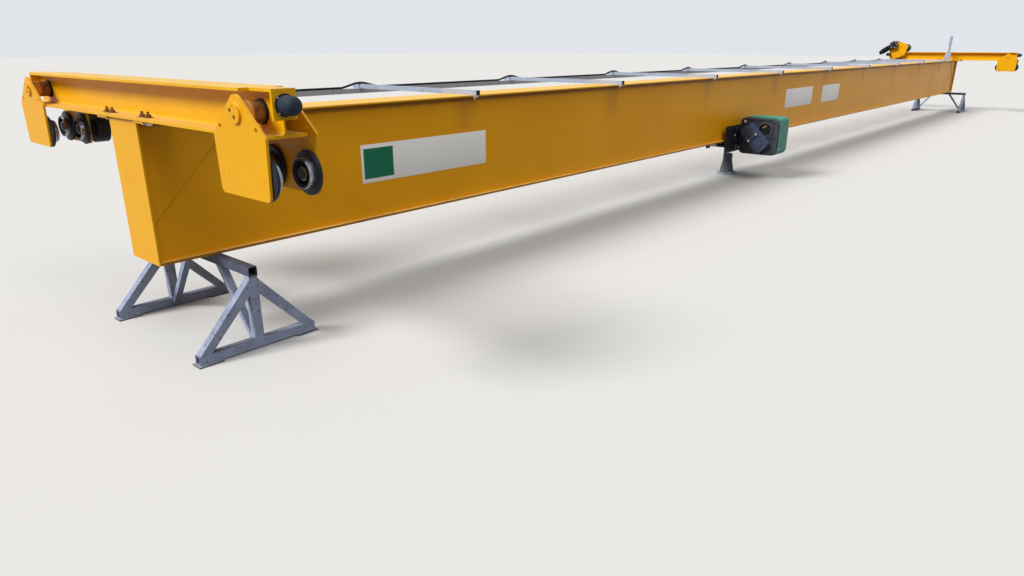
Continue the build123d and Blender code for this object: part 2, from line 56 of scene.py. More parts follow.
ARM_COUNT = 9

# Sizes and places in metres, read from the frame's nodes and joints
ENDS = {"near": -1, "far": 1}
SIDES = {"front": -1, "rear": 1}
JOINT_AT = {joint["name"]: Vector(joint["pos_m"]) for joint in frame["joints"] if "pos_m" in joint}
PIN_AT = JOINT_AT["truck_near_front_swing"]
BEAM_X = -PIN_AT.x
PIN_Y = -PIN_AT.y
PIN_Z = PIN_AT.z
AXLE_AT = JOINT_AT["truck_near_front_wheel_a1_spin"]
WHEEL_X = PIN_AT.y - AXLE_AT.y
WHEEL_DROP = PIN_AT.z - AXLE_AT.z


def middle(node):
    """Middle of a node's box."""
    low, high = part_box(node)
    return (low + high) / 2


def swing_of(end, side):
    """How far a truck is turned from plumb about its pin, read from two of its axles."""
    truck = "truck_%s_%s_wheel_a" % (end, side)
    along = JOINT_AT[truck + "1_spin"] - JOINT_AT[truck + "2_spin"]
    return math.atan2(along.z, SIDES[side] * along.y)


SWINGS = {(end, side): swing_of(end, side) for end in ENDS for side in SIDES}
GIRDER_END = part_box("girder_end_plates")[1].x
GIRDER_HALF_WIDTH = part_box("girder_end_plates")[1].y
GIRDER_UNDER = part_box("girder_end_plates")[0].z
GIRDER_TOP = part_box("girder_end_plates")[1].z
WEB_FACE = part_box("girder_webs")[1].y
BEAM_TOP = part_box("near_carriage_beam")[1].z
HEAD_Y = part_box("carriage_head_plates")[1].y
BUFFER_Z = middle("carriage_buffers").z
PLATE_FACE = (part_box("truck_near_front_plates")[1].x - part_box("truck_near_front_plates")[0].x) / 2
TRUCK_HALF_GAP = PLATE_FACE - PLATE_T
DRIVE_OFFSET = abs(middle("near_drive_motor").x + BEAM_X)
ARM_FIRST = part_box("cable_arms")[0].x + ARM_HALF
ARM_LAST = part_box("cable_arms")[1].x - ARM_HALF
ARM_PITCH = (ARM_LAST - ARM_FIRST) / (ARM_COUNT - 1)
ARM_XS = [ARM_FIRST + ARM_PITCH * step for step in range(ARM_COUNT)]
ARM_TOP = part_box("cable_arms")[1].z
TRACK_Y = middle("cable_track").y
TROLLEY_X = middle("trolley_plates").x
PLATE_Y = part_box("trolley_plates")[1].y - TROLLEY_PLATE_T
CASTING_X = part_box("hoist_end_casting")[0].x
HOIST_Y = middle("hoist_end_casting").y
HOIST_Z = middle("hoist_end_casting").z


def rgb(red, green, blue):
    """Linear colour of a colour given as a screen shows it, 0 to 255."""
    out = []
    for value in (red, green, blue):
        c = value / 255
        out.append(c / 12.92 if c <= 0.04045 else ((c + 0.055) / 1.055) ** 2.4)
    return tuple(out) + (1.0,)


# How the worn paint breaks up: where a mask starts and is full, and how strong it is
TINT_RANGE = (0.38, 0.68)
UP_FACING_RANGE = (0.55, 0.98)
DUST_AND_TOP_LIGHT_PATCHES = (0.3, 0.75, 0.35, 1.0)
CHIP_START = 0.78
CHIP_SPREAD = 0.2
CHIP_SHARPNESS = 60.0
DUST_ROUGHER = 0.3
TINT_ROUGHER = 0.08
PEEL_SCALE = 260.0
PEEL_HEIGHT = 0.35

# Grey runs on the webs below the cable arms, and painted shade on the webs under the top flange
RUN_STRETCH = (6, 6, 1.2)
RUN_WAVE = 0.16
RUN_WIDTH = 0.15
RUN_LENGTH = 0.4
RUN_STRENGTH = 0.45
# Painted shade under the top flange: a ragged dark band close under it and a long fade below
SHADE_RAGGED = 0.016
UNDER_FLANGE_SHADE_FADE = (0.04, 0.062, 1.0, 0.0)
SHADE_FADE = (0.04, 0.3, 0.22, 0.0)
PAINTED_SHADE_STRENGTH = 0.78
PAINTED_SHADE_COLOUR = rgb(118, 72, 10)


# Node helpers
def put(tree, kind, **settings):
    """A new node with its settings."""
    node = tree.nodes.new(kind)
    for key, value in settings.items():
        setattr(node, key, value)
    return node


def wire(tree, source, target):
    """A link from an output to an input."""
    tree.links.new(source, target)


def calc(tree, operation, first, second=None, clamp=False):
    """A Math node on sockets or plain numbers; returns its output."""
    node = put(tree, "ShaderNodeMath", operation=operation, use_clamp=clamp)
    for index, value in enumerate((first, second)):
        if value is None:
            continue
        if isinstance(value, (int, float)):
            node.inputs[index].default_value = value
        else:
            wire(tree, value, node.inputs[index])
    return node.outputs[0]


def span(tree, value, low, high, to_low=0.0, to_high=1.0):
    """A clamped Map Range; returns its output."""
    node = put(tree, "ShaderNodeMapRange", clamp=True)
    wire(tree, value, node.inputs[0])
    for index, number in enumerate((low, high, to_low, to_high)):
        node.inputs[index + 1].default_value = number
    return node.outputs[0]


def blend_colours(tree, factor, first, second):
    """A colour Mix on sockets or plain colours; returns its output."""
    node = put(tree, "ShaderNodeMix", data_type="RGBA")
    wire(tree, factor, node.inputs[0])
    for index, value in ((6, first), (7, second)):
        if isinstance(value, tuple):
            node.inputs[index].default_value = value
        else:
            wire(tree, value, node.inputs[index])
    return node.outputs[2]


def noise(tree, vector, scale, detail=3.0, roughness=0.55):
    """A Noise texture; returns its factor."""
    node = put(tree, "ShaderNodeTexNoise")
    wire(tree, vector, node.inputs["Vector"])
    if isinstance(scale, (int, float)):
        node.inputs["Scale"].default_value = scale
    else:
        wire(tree, scale, node.inputs["Scale"])
    node.inputs["Detail"].default_value = detail
    node.inputs["Roughness"].default_value = roughness
    return node.outputs[0]


def stretched(tree, vector, scale):
    """A vector scaled by its axes through a Mapping node."""
    node = put(tree, "ShaderNodeMapping")
    wire(tree, vector, node.inputs["Vector"])
    node.inputs["Scale"].default_value = scale
    return node.outputs[0]


def make_worn_paint():
    """Group: paint with soft mottling, dust on upward faces that also serves as painted top light, chips and
    an orange-peel surface.
    """
    group = bpy.data.node_groups.new("worn paint", "ShaderNodeTree")
    face = group.interface
    for name, kind in (
        ("Colour", "NodeSocketColor"),
        ("Tint", "NodeSocketColor"),
        ("Dust Colour", "NodeSocketColor"),
        ("Chip Colour", "NodeSocketColor"),
        ("Mottle Scale", "NodeSocketFloat"),
        ("Mottle", "NodeSocketFloat"),
        ("Dust And Top Light", "NodeSocketFloat"),
        ("Chip Scale", "NodeSocketFloat"),
        ("Chips", "NodeSocketFloat"),
        ("Roughness", "NodeSocketFloat"),
    ):
        face.new_socket(name=name, in_out="INPUT", socket_type=kind)
    for name, kind in (
        ("Colour", "NodeSocketColor"),
        ("Roughness", "NodeSocketFloat"),
        ("Height", "NodeSocketFloat"),
    ):
        face.new_socket(name=name, in_out="OUTPUT", socket_type=kind)
    given = put(group, "NodeGroupInput").outputs
    result = put(group, "NodeGroupOutput").inputs
    spot = put(group, "ShaderNodeTexCoord").outputs["Object"]
    normal = put(group, "ShaderNodeNewGeometry").outputs["Normal"]
    up = put(group, "ShaderNodeSeparateXYZ")
    wire(group, normal, up.inputs[0])

    clouds = noise(group, spot, given["Mottle Scale"], 4.0, 0.6)
    tint_mask = calc(group, "MULTIPLY", span(group, clouds, *TINT_RANGE), given["Mottle"])
    colour = blend_colours(group, tint_mask, given["Colour"], given["Tint"])

    chip_noise = noise(group, spot, given["Chip Scale"], 8.0, 0.68)
    chip_level = calc(group, "SUBTRACT", CHIP_START, calc(group, "MULTIPLY", given["Chips"], CHIP_SPREAD))
    chip_edge = calc(group, "SUBTRACT", chip_noise, chip_level)
    chip_mask = calc(group, "MULTIPLY", chip_edge, CHIP_SHARPNESS, clamp=True)
    colour = blend_colours(group, chip_mask, colour, given["Chip Colour"])

    # Upward faces take the dust colour: dust, and also painted top light on the yellow and flange paints; on
    # the cover paint it is painted top light only
    up_facing = span(group, up.outputs[2], *UP_FACING_RANGE)
    patchy = span(group, noise(group, spot, 2.3, 5.0, 0.65), *DUST_AND_TOP_LIGHT_PATCHES)
    dust_and_top_light_mask = calc(group, "MULTIPLY", calc(group, "MULTIPLY", up_facing, patchy), given["Dust And Top Light"])
    colour = blend_colours(group, dust_and_top_light_mask, colour, given["Dust Colour"])

    rough = calc(group, "ADD", given["Roughness"], calc(group, "MULTIPLY", dust_and_top_light_mask, DUST_ROUGHER))
    rough = calc(group, "ADD", rough, calc(group, "MULTIPLY", tint_mask, TINT_ROUGHER), clamp=True)
    peel = calc(group, "MULTIPLY", noise(group, spot, PEEL_SCALE, 2.0), PEEL_HEIGHT)
    height = calc(group, "SUBTRACT", peel, chip_mask)
    wire(group, colour, result["Colour"])
    wire(group, rough, result["Roughness"])
    wire(group, height, result["Height"])
    return group


def make_runs_and_painted_shade():
    """Group: grey runs below each cable arm, and painted shade along the underside of the top flange."""
    group = bpy.data.node_groups.new("runs and painted shade", "ShaderNodeTree")
    face = group.interface
    for name in ("First", "Pitch", "Width", "Top", "Length"):
        face.new_socket(name=name, in_out="INPUT", socket_type="NodeSocketFloat")
    face.new_socket(name="Mask", in_out="OUTPUT", socket_type="NodeSocketFloat")
    face.new_socket(name="Painted Shade", in_out="OUTPUT", socket_type="NodeSocketFloat")
    given = put(group, "NodeGroupInput").outputs
    result = put(group, "NodeGroupOutput").inputs
    spot = put(group, "ShaderNodeTexCoord").outputs["Object"]
    axes = put(group, "ShaderNodeSeparateXYZ")
    wire(group, spot, axes.inputs[0])
    wavy = calc(group, "MULTIPLY", noise(group, stretched(group, spot, RUN_STRETCH), 2.0, 4.0), RUN_WAVE)
    along = calc(group, "ADD", calc(group, "SUBTRACT", axes.outputs[0], given["First"]), wavy)
    steps = calc(group, "DIVIDE", along, given["Pitch"])
    off = calc(group, "SUBTRACT", steps, calc(group, "ROUND", steps))
    gap = calc(group, "ABSOLUTE", calc(group, "MULTIPLY", off, given["Pitch"]))
    near = calc(group, "SUBTRACT", 1.0, calc(group, "DIVIDE", gap, given["Width"]), clamp=True)
    below = calc(group, "SUBTRACT", given["Top"], axes.outputs[2])
    fade = calc(group, "SUBTRACT", 1.0, calc(group, "DIVIDE", below, given["Length"]), clamp=True)
    wire(group, calc(group, "MULTIPLY", near, fade), result["Mask"])
    # Painted shade under the top flange: a ragged dark band and a long fade, as one mask
    uneven = calc(group, "MULTIPLY", noise(group, spot, 9.0, 4.0), SHADE_RAGGED)
    under = span(group, calc(group, "ADD", below, uneven), *UNDER_FLANGE_SHADE_FADE)
    long_shade = span(group, below, *SHADE_FADE)
    wire(group, calc(group, "MAXIMUM", under, long_shade), result["Painted Shade"])
    return group


WORN_PAINT = make_worn_paint()
RUNS_AND_PAINTED_SHADE = make_runs_and_painted_shade()


def surface(name, metallic=0.0, coat=0.0, specular=0.5):
    """A new material; returns it with its tree and its Principled shader."""
    material = bpy.data.materials.new(name)
    material.use_nodes = True
    tree = material.node_tree
    shader = tree.nodes["Principled BSDF"]
    shader.inputs["Metallic"].default_value = metallic
    shader.inputs["Coat Weight"].default_value = coat
    shader.inputs["Specular IOR Level"].default_value = specular
    return material, tree, shader


def raise_bump(tree, shader, height, distance):
    """A Bump node on the shader's normal."""
    bump = put(tree, "ShaderNodeBump")
    bump.inputs["Distance"].default_value = distance
    bump.inputs["Strength"].default_value = 1.0
    wire(tree, height, bump.inputs["Height"])
    wire(tree, bump.outputs[0], shader.inputs["Normal"])


def paint(
    name,
    colour,
    tint,
    dust_and_top_light_colour=rgb(196, 190, 176),
    chip_colour=rgb(96, 84, 70),
    mottle_scale=3.0,
    mottle=0.35,
    dust=0.3,
    chip_scale=16.0,
    chips=0.0,
    roughness=0.38,
    metallic=0.0,
    coat=0.0,
    specular=0.14,
    bump=0.0004,
    marks=None,
):
    """Surface from the worn paint group; marks is the colour of runs below the cable arms, and when given
    also lays painted shade under the top flange; dust on upward faces is also painted top light on the
    yellow, flange and cover paints.
    """
    material, tree, shader = surface(name, metallic, coat, specular)
    coatwork = put(tree, "ShaderNodeGroup", node_tree=WORN_PAINT)
    for key, value in (
        ("Colour", colour),
        ("Tint", tint),
        ("Dust Colour", dust_and_top_light_colour),
        ("Chip Colour", chip_colour),
        ("Mottle Scale", mottle_scale),
        ("Mottle", mottle),
        ("Dust And Top Light", dust),
        ("Chip Scale", chip_scale),
        ("Chips", chips),
        ("Roughness", roughness),
    ):
        coatwork.inputs[key].default_value = value
    finish = coatwork.outputs["Colour"]
    if marks:
        runs = put(tree, "ShaderNodeGroup", node_tree=RUNS_AND_PAINTED_SHADE)
        for key, value in (
            ("First", ARM_FIRST),
            ("Pitch", ARM_PITCH),
            ("Width", RUN_WIDTH),
            ("Top", GIRDER_TOP),
            ("Length", RUN_LENGTH),
        ):
            runs.inputs[key].default_value = value
        mask = calc(tree, "MULTIPLY", runs.outputs["Mask"], RUN_STRENGTH)
        finish = blend_colours(tree, mask, finish, marks)
        # Painted shade under the top flange, laid over the web colour
        flange_shade = calc(tree, "MULTIPLY", runs.outputs["Painted Shade"], PAINTED_SHADE_STRENGTH)
        finish = blend_colours(tree, flange_shade, finish, PAINTED_SHADE_COLOUR)
    wire(tree, finish, shader.inputs["Base Color"])
    wire(tree, coatwork.outputs["Roughness"], shader.inputs["Roughness"])
    raise_bump(tree, shader, coatwork.outputs["Height"], bump)
    return material


YELLOW = rgb(240, 174, 6)
YELLOW_DEEP = rgb(228, 158, 4)
# Crane yellow: its pale yellow dust on upward faces is dust and painted top light
YELLOW_PAINT = paint(
    "crane yellow paint", YELLOW, YELLOW_DEEP, rgb(252, 216, 136), chips=0.12, dust=0.55,
)
# Web paint: its runs below the cable arms come with painted shade under the top flange
WEB_PAINT_WITH_SHADE = paint(
    "crane yellow web paint with painted shade", rgb(246, 172, 12), rgb(232, 156, 8), rgb(246, 192, 84),
    mottle_scale=1.1, mottle=0.5, chips=0.05, marks=rgb(140, 100, 48),
)
# Bottom flange: the darker base colour is painted shade on its sides and underside, and the pale dust on its
# upward faces is dust and painted top light
FLANGE_PAINT_WITH_LIGHT_AND_SHADE = paint(
    "crane yellow flange paint with painted shade and top light", rgb(176, 118, 30), rgb(150, 98, 28), rgb(255, 222, 130),
    mottle_scale=2.2, mottle=0.5, dust=1.5, chips=0.1,
)
PAD_STEEL = paint(
    "scuffed foot plate", rgb(96, 98, 106), rgb(66, 66, 72), rgb(206, 208, 214), rgb(210, 212, 218),
    mottle_scale=30.0, mottle=0.7, dust=0.5, chips=0.7, chip_scale=40.0, roughness=0.5, bump=0.0004,
)
CARRIAGE_PAINT = paint(
    "carriage yellow paint", rgb(240, 180, 10), YELLOW_DEEP, rgb(222, 200, 146), rgb(176, 160, 130),
    mottle_scale=5.0, chips=0.3, chip_scale=9.0, dust=0.6,
)
RUSTY_PAINT = paint(
    "rusty spacer paint", rgb(156, 112, 58), rgb(108, 80, 50), rgb(150, 128, 96), rgb(92, 64, 42),
    mottle_scale=24.0, mottle=0.8, chips=0.75, chip_scale=30.0, roughness=0.6, bump=0.001,
)
WORN_ORANGE = paint(
    "worn orange collar", rgb(232, 162, 74), rgb(196, 126, 50), rgb(216, 170, 110), rgb(120, 82, 44),
    mottle_scale=40.0, mottle=0.7, chips=0.5, chip_scale=40.0, roughness=0.5, bump=0.0006,
)
TRESTLE_PAINT = paint(
    "trestle grey paint", rgb(170, 180, 206), rgb(134, 142, 166), rgb(84, 78, 78), rgb(62, 56, 54),
    mottle_scale=9.0, mottle=0.7, dust=0.85, chips=0.9, chip_scale=60.0, roughness=0.5, bump=0.0008,
)
# Trestle beams: a darker copy of the trestle grey, partly grime and partly painted shade
TRESTLE_BEAM_GRIME_AND_SHADE = paint(
    "trestle beam paint, grimy and darkened as painted shade", rgb(92, 97, 116), rgb(66, 70, 84), rgb(70, 66, 66), rgb(150, 156, 174),
    mottle_scale=12.0, mottle=0.8, dust=0.8, chips=0.6, chip_scale=40.0, roughness=0.55, bump=0.0008,
)
GALVANISED = paint(
    "galvanised steel", rgb(178, 188, 206), rgb(150, 160, 178), rgb(206, 212, 222), rgb(120, 122, 130),
    mottle_scale=30.0, mottle=0.7, dust=0.3, chips=0.2, roughness=0.42, metallic=0.15, bump=0.0002,
)
ZINC = paint(
    "bright zinc", rgb(222, 218, 208), rgb(190, 184, 170), mottle_scale=60.0, dust=0.1,
    roughness=0.34, metallic=0.4, bump=0.0002,
)
BLACK_PAINT = paint(
    "satin black paint", rgb(38, 39, 44), rgb(28, 29, 33), rgb(96, 94, 90), rgb(82, 80, 80),
    mottle_scale=14.0, dust=0.35, chips=0.25, chip_scale=30.0, roughness=0.42,
)
HOIST_PAINT = paint(
    "dark blue-grey casting", rgb(70, 73, 84), rgb(52, 55, 64), rgb(104, 108, 116), rgb(88, 92, 100),
    mottle_scale=18.0, mottle=0.5, dust=0.35, chips=0.3, chip_scale=36.0, roughness=0.4, bump=0.0008,
)
GEARCASE_PAINT = paint(
    "slate gear case paint", rgb(82, 94, 122), rgb(60, 70, 94), rgb(120, 128, 142), rgb(110, 114, 122),
    mottle_scale=16.0, mottle=0.5, dust=0.3, chips=0.3, chip_scale=30.0, roughness=0.36, bump=0.0008,
)
# Hoist cover: the pale teal on its upward faces is painted top light
COVER_PAINT_WITH_TOP_LIGHT = paint(
    "teal cover paint with painted top light", rgb(4, 126, 108), rgb(3, 106, 90), rgb(110, 196, 172), rgb(90, 150, 130),
    mottle_scale=7.0, mottle=0.4, dust=0.5, chips=0.12, roughness=0.34, coat=0.05,
)
BLOCK_PAINT = paint(
    "chain block grey paint", rgb(118, 121, 132), rgb(88, 90, 102), rgb(190, 190, 196), rgb(70, 66, 66),
    mottle_scale=20.0, mottle=0.6, chips=0.6, chip_scale=26.0, roughness=0.42, bump=0.0008,
)
RUBBER = paint(
    "buffer rubber", rgb(46, 52, 68), rgb(34, 38, 50), rgb(86, 88, 94), rgb(60, 62, 70),
    mottle_scale=12.0, dust=0.3, roughness=0.62, bump=0.0003,
)
CABLE_RUBBER = paint(
    "cable rubber", rgb(30, 31, 36), rgb(22, 23, 27), rgb(84, 84, 86), mottle_scale=8.0, dust=0.4,
    roughness=0.55, bump=0.0003,
)
CAP_PLASTIC = paint(
    "black cap plastic", rgb(20, 20, 22), rgb(28, 28, 30), rgb(60, 60, 60), mottle_scale=40.0,
    dust=0.2, roughness=0.5, bump=0.0002,
)
WHEEL_IRON = paint(
    "dark wheel iron", rgb(46, 48, 58), rgb(32, 33, 40), rgb(84, 84, 88), rgb(76, 72, 72),
    mottle_scale=30.0, mottle=0.6, chips=0.35, chip_scale=40.0, roughness=0.42, metallic=0.2, bump=0.0006,
)
WORN_TREAD = paint(
    "worn bright tread", rgb(168, 168, 174), rgb(104, 102, 104), rgb(150, 146, 142), rgb(66, 62, 60),
    mottle_scale=50.0, mottle=0.8, chips=0.4, chip_scale=60.0, roughness=0.24, metallic=0.9, bump=0.0002,
)
SIGN_WHITE = paint(
    "white sign film", rgb(255, 253, 248), rgb(246, 244, 238), mottle_scale=4.0, mottle=0.3,
    roughness=0.3, bump=0.0001,
)
SIGN_GREEN = paint(
    "green sign film", rgb(20, 116, 84), rgb(16, 104, 76), mottle_scale=5.0, roughness=0.3, bump=0.0001,
)
PORT_BRASS = paint(
    "yellowed wire bundle", rgb(206, 180, 92), rgb(150, 122, 60), mottle_scale=60.0, mottle=0.7,
    roughness=0.45, bump=0.001,
)


# Shares of a hex head's width across its flats, or of its height
HEX_CORNER = 0.577
HEX_BODY = 0.82
HEX_CHAMFER_FOOT = 0.53
HEX_CHAMFER_TOP = 0.44
HEX_CHAMFER_HEIGHT = 0.18
WASHER_RADIUS = 0.98
STUD_RADIUS = 0.3
STUD_FOOT = 0.9

# A weld bead's sides, and how much each ripple swells or shrinks
BEAD_SIDES = 8
BEAD_RIPPLE = 1.12

# Distance under which two vertices of a piece are one
MERGE_UNDER = 1e-6


# Mesh helpers: every piece is built in place, so its object stays at the origin
def stand_on(origin, along, across=(0, 0, 1)):
    """Matrix that takes local Z along a direction, with local X near another one."""
    z = Vector(along).normalized()
    side = Vector(across)
    nearly_along = abs(z.dot(side.normalized())) > 0.98
    if nearly_along:
        side = Vector((1, 0, 0)) if abs(z.x) < 0.9 else Vector((0, 1, 0))
    x = (side - z * side.dot(z)).normalized()
    y = z.cross(x)
    turn = Matrix((x, y, z)).transposed().to_4x4()
    return Matrix.Translation(Vector(origin)) @ turn


def place(bm, verts, matrix):
    """Move vertices by a matrix."""
    bmesh.ops.transform(bm, matrix=matrix, verts=verts)


def edges_on(verts):
    """The edges that end on some vertices."""
    return list({edge for vert in verts for edge in vert.link_edges})


def paint_faces(verts, index):
    """Give the faces on some vertices one of the piece's materials."""
    touched = {face for vert in verts for face in vert.link_faces}
    for face in touched:
        face.material_index = index


def rod(bm, matrix, radius, length, sides, tip=None, index=0):
    """A round or many-sided bar from the matrix's origin along its Z, its far end narrowed to tip."""
    end_radius = radius if tip is None else tip
    made = bmesh.ops.create_cone(
        bm, cap_ends=True, segments=sides, radius1=radius, radius2=end_radius, depth=length,
    )["verts"]
    place(bm, made, matrix @ Matrix.Translation((0, 0, length / 2)))
    paint_faces(made, index)


def block(bm, matrix, size, bevel=0.0, index=0):
    """A box centred on the matrix's origin, its edges rounded by the bevel."""
    made = bmesh.ops.create_cube(bm, size=1.0)["verts"]
    place(bm, made, matrix @ Matrix.Diagonal((*size, 1.0)))
    paint_faces(made, index)
    if bevel:
        bmesh.ops.bevel(
            bm, geom=edges_on(made), offset=bevel, segments=2, profile=0.5, affect="EDGES", material=-1,
        )


def joined_to(verts):
    """All the vertices that hang together with the given ones by faces."""
    grown = set(verts)
    faces = {face for vert in verts for face in vert.link_faces}
    while faces:
        fresh = {vert for face in faces for vert in face.verts} - grown
        grown |= fresh
        faces = {face for vert in fresh for face in vert.link_faces}
    return grown


def turned(bm, matrix, outline, steps, index=0):
    """Spin an outline of (radius, height) points once round the matrix's Z."""
    verts = [bm.verts.new((radius, 0, height)) for radius, height in outline]
    edges = [bm.edges.new(pair) for pair in zip(verts, verts[1:])]
    bmesh.ops.spin(
        bm, geom=verts + edges, cent=(0, 0, 0), axis=(0, 0, 1), angle=math.tau, steps=steps, use_merge=True,
    )
    grown = joined_to(verts)
    place(bm, list(grown), matrix)
    paint_faces(grown, index)


def bolt(bm, matrix, across, height, washer=0.0, stud=0.0):
    """A hex head or nut on the matrix's origin, with its washer and the stud end beyond it."""
    if washer:
        rod(bm, matrix, across * WASHER_RADIUS, washer, 24)
    foot = matrix @ Matrix.Translation((0, 0, washer))
    rod(bm, foot, across * HEX_CORNER, height * HEX_BODY, 6)
    top = matrix @ Matrix.Translation((0, 0, washer + height * HEX_BODY))
    rod(bm, top, across * HEX_CHAMFER_FOOT, height * HEX_CHAMFER_HEIGHT, 24, tip=across * HEX_CHAMFER_TOP)
    if stud:
        far = matrix @ Matrix.Translation((0, 0, washer + height * STUD_FOOT))
        rod(bm, far, across * STUD_RADIUS, stud, 16)


def verts_and_edges(geom):
    """The vertices and edges among what an operator made."""
    verts = [item for item in geom if isinstance(item, bmesh.types.BMVert)]
    edges = [item for item in geom if isinstance(item, bmesh.types.BMEdge)]
    return verts, edges


def bead(bm, start, end, radius, pitch):
    """A weld bead: a rippled bar between two points."""
    start, end = Vector(start), Vector(end)
    run = end - start
    count = max(6, int(run.length / pitch))
    ring = bmesh.ops.create_circle(bm, segments=BEAD_SIDES, radius=radius, cap_ends=False)["verts"]
    made = list(ring)
    edges = edges_on(ring)
    for step in range(count):
        fresh, edges = verts_and_edges(bmesh.ops.extrude_edge_only(bm, edges=edges)["geom"])
        edges = [edge for edge in edges if edge.verts[0] in fresh and edge.verts[1] in fresh]
        bmesh.ops.translate(bm, vec=(0, 0, run.length / count), verts=fresh)
        factor = BEAD_RIPPLE if step % 2 == 0 else 1 / BEAD_RIPPLE
        centre = Matrix.Translation((0, 0, run.length * (step + 1) / count))
        swell = centre @ Matrix.Diagonal((factor, factor, 1, 1)) @ centre.inverted()
        place(bm, fresh, swell)
        made += fresh
    open_edges = [edge for edge in edges_on(made) if edge.is_boundary]
    bmesh.ops.holes_fill(bm, edges=open_edges, sides=BEAD_SIDES)
    place(bm, made, stand_on(start, run))


def keep(name, bm, body, materials, crease):
    """Turn a finished mesh into a piece on its body, sharp where it folds by more than crease degrees."""
    bmesh.ops.remove_doubles(bm, verts=bm.verts, dist=MERGE_UNDER)
    bmesh.ops.recalc_face_normals(bm, faces=bm.faces)
    limit = math.radians(crease)
    for face in bm.faces:
        face.smooth = True
    for edge in bm.edges:
        if len(edge.link_faces) != 2 or edge.calc_face_angle(0) > limit:
            edge.smooth = False
    mesh = bpy.data.meshes.new(name)
    bm.to_mesh(mesh)
    bm.free()
    for material in materials:
        mesh.materials.append(material)
    piece = bpy.data.objects.new(name, mesh)
    bpy.context.scene.collection.objects.link(piece)
    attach(piece, body)
    return piece


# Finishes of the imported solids
FINISHES = {
    "girder_webs": WEB_PAINT_WITH_SHADE,
    "girder_top_flange": YELLOW_PAINT,
    "girder_bottom_flange": FLANGE_PAINT_WITH_LIGHT_AND_SHADE,
    "girder_end_plates": YELLOW_PAINT,
    "girder_web_doublers": WEB_PAINT_WITH_SHADE,
    "carriage_pads": YELLOW_PAINT,
    "near_carriage_beam": CARRIAGE_PAINT,
    "far_carriage_beam": CARRIAGE_PAINT,
    "carriage_head_plates": CARRIAGE_PAINT,
    "carriage_pin_bosses": RUSTY_PAINT,
    "carriage_buffers": RUBBER,
    "near_trestle_frames": TRESTLE_PAINT,
    "far_trestle_frames": TRESTLE_PAINT,
    "near_trestle_beam": TRESTLE_BEAM_GRIME_AND_SHADE,
    "far_trestle_beam": TRESTLE_BEAM_GRIME_AND_SHADE,
    "cable_arms": GALVANISED,
    "cable_track": GALVANISED,
    "cable_arm_clamps": ZINC,
    "cable_arm_caps": CAP_PLASTIC,
    "feed_cable": CABLE_RUBBER,
    "feed_post": TRESTLE_PAINT,
    "near_drive_gearbox": BLACK_PAINT,
    "far_drive_gearbox": BLACK_PAINT,
    "trolley_plates": BLACK_PAINT,
    "trolley_wheels": WHEEL_IRON,
    "trolley_tie_bars": BLACK_PAINT,
    "hoist_bracket": BLACK_PAINT,
    "hoist_end_casting": HOIST_PAINT,
    "hoist_gear_case": GEARCASE_PAINT,
    "hoist_cover": COVER_PAINT_WITH_TOP_LIGHT,
    "chain_block": BLOCK_PAINT,
}
for end_name in ENDS:
    for side_name in SIDES:
        FINISHES["truck_%s_%s_plates" % (end_name, side_name)] = YELLOW_PAINT
        FINISHES["truck_%s_%s_pin" % (end_name, side_name)] = YELLOW_PAINT
for node_name, finish in FINISHES.items():
    solid = frame["nodes"][node_name]
    if not solid.material_slots:
        solid.data.materials.append(finish)
    for place_for in solid.material_slots:
        place_for.link = "OBJECT"
        place_for.material = finish


def truck_matrix(end, side):
    """Local X outboard and Y up from the truck's pin, turned with the truck; Z along the girder."""
    out = SIDES[side]
    swing = SWINGS[(end, side)]
    x = Vector((0, out * math.cos(swing), math.sin(swing)))
    z = Vector((out, 0, 0))
    y = z.cross(x)
    turn = Matrix((x, y, z)).transposed().to_4x4()
    return Matrix.Translation((ENDS[end] * BEAM_X, out * PIN_Y, PIN_Z)) @ turn


def at(matrix, x, y, z, toward):
    """Matrix at a local point whose Z points along local Z (1) or against it (-1)."""
    spot = matrix @ Matrix.Translation((x, y, z))
    return spot if toward > 0 else spot @ Matrix.Rotation(math.pi, 4, "X")


# Outlines of the turned parts of a truck: points of radius and height
WHEEL_GAP = 0.003
WHEEL_RIM = [
    (0.0205, 0.0), (0.0912, 0.0), (0.0942, 0.0012), (0.095, 0.004), (0.095, 0.0105),
    (0.0935, 0.0135), (0.089, 0.016), (0.0672, 0.0164), (0.066, 0.0172),
]
WHEEL_TREAD = [(0.066, 0.0172), (0.066, 0.041), (0.063, 0.044)]
WHEEL_DISH = [
    (0.063, 0.044), (0.0555, 0.044), (0.054, 0.0432), (0.0485, 0.0215), (0.047, 0.02), (0.034, 0.02),
    (0.0325, 0.0208), (0.031, 0.0345), (0.030, 0.036),
]
BEARING_RING = [
    (0.030, 0.036), (0.0272, 0.036), (0.0268, 0.0348), (0.0222, 0.0348), (0.0205, 0.0352),
]
WHEEL_BORE = [(0.0205, 0.0352), (0.0205, 0.0)]
HOLE_RIM = [(0.0096, 0.0), (0.0104, 0.0008), (0.0116, 0.0008), (0.0126, 0.0)]
PIN_COLLAR = [(0.0423, 0.0), (0.0423, 0.0084), (0.041, 0.0099), (0.0254, 0.0101)]
PIN_WELD = [(0.0435, 0.0), (0.0418, 0.0022), (0.0398, 0.003)]
AXLE_WELD = [(0.0265, 0.0), (0.0245, 0.0011), (0.0222, 0.0011), (0.021, 0.0)]
AXLE_CAP = [
    (0.0252, 0.0), (0.0252, 0.0032), (0.0235, 0.0043), (0.009, 0.0043), (0.008, 0.0034), (0.0, 0.0034),
]
AXLE_END_R = 0.0206
CAP_DEPTH = 0.0429

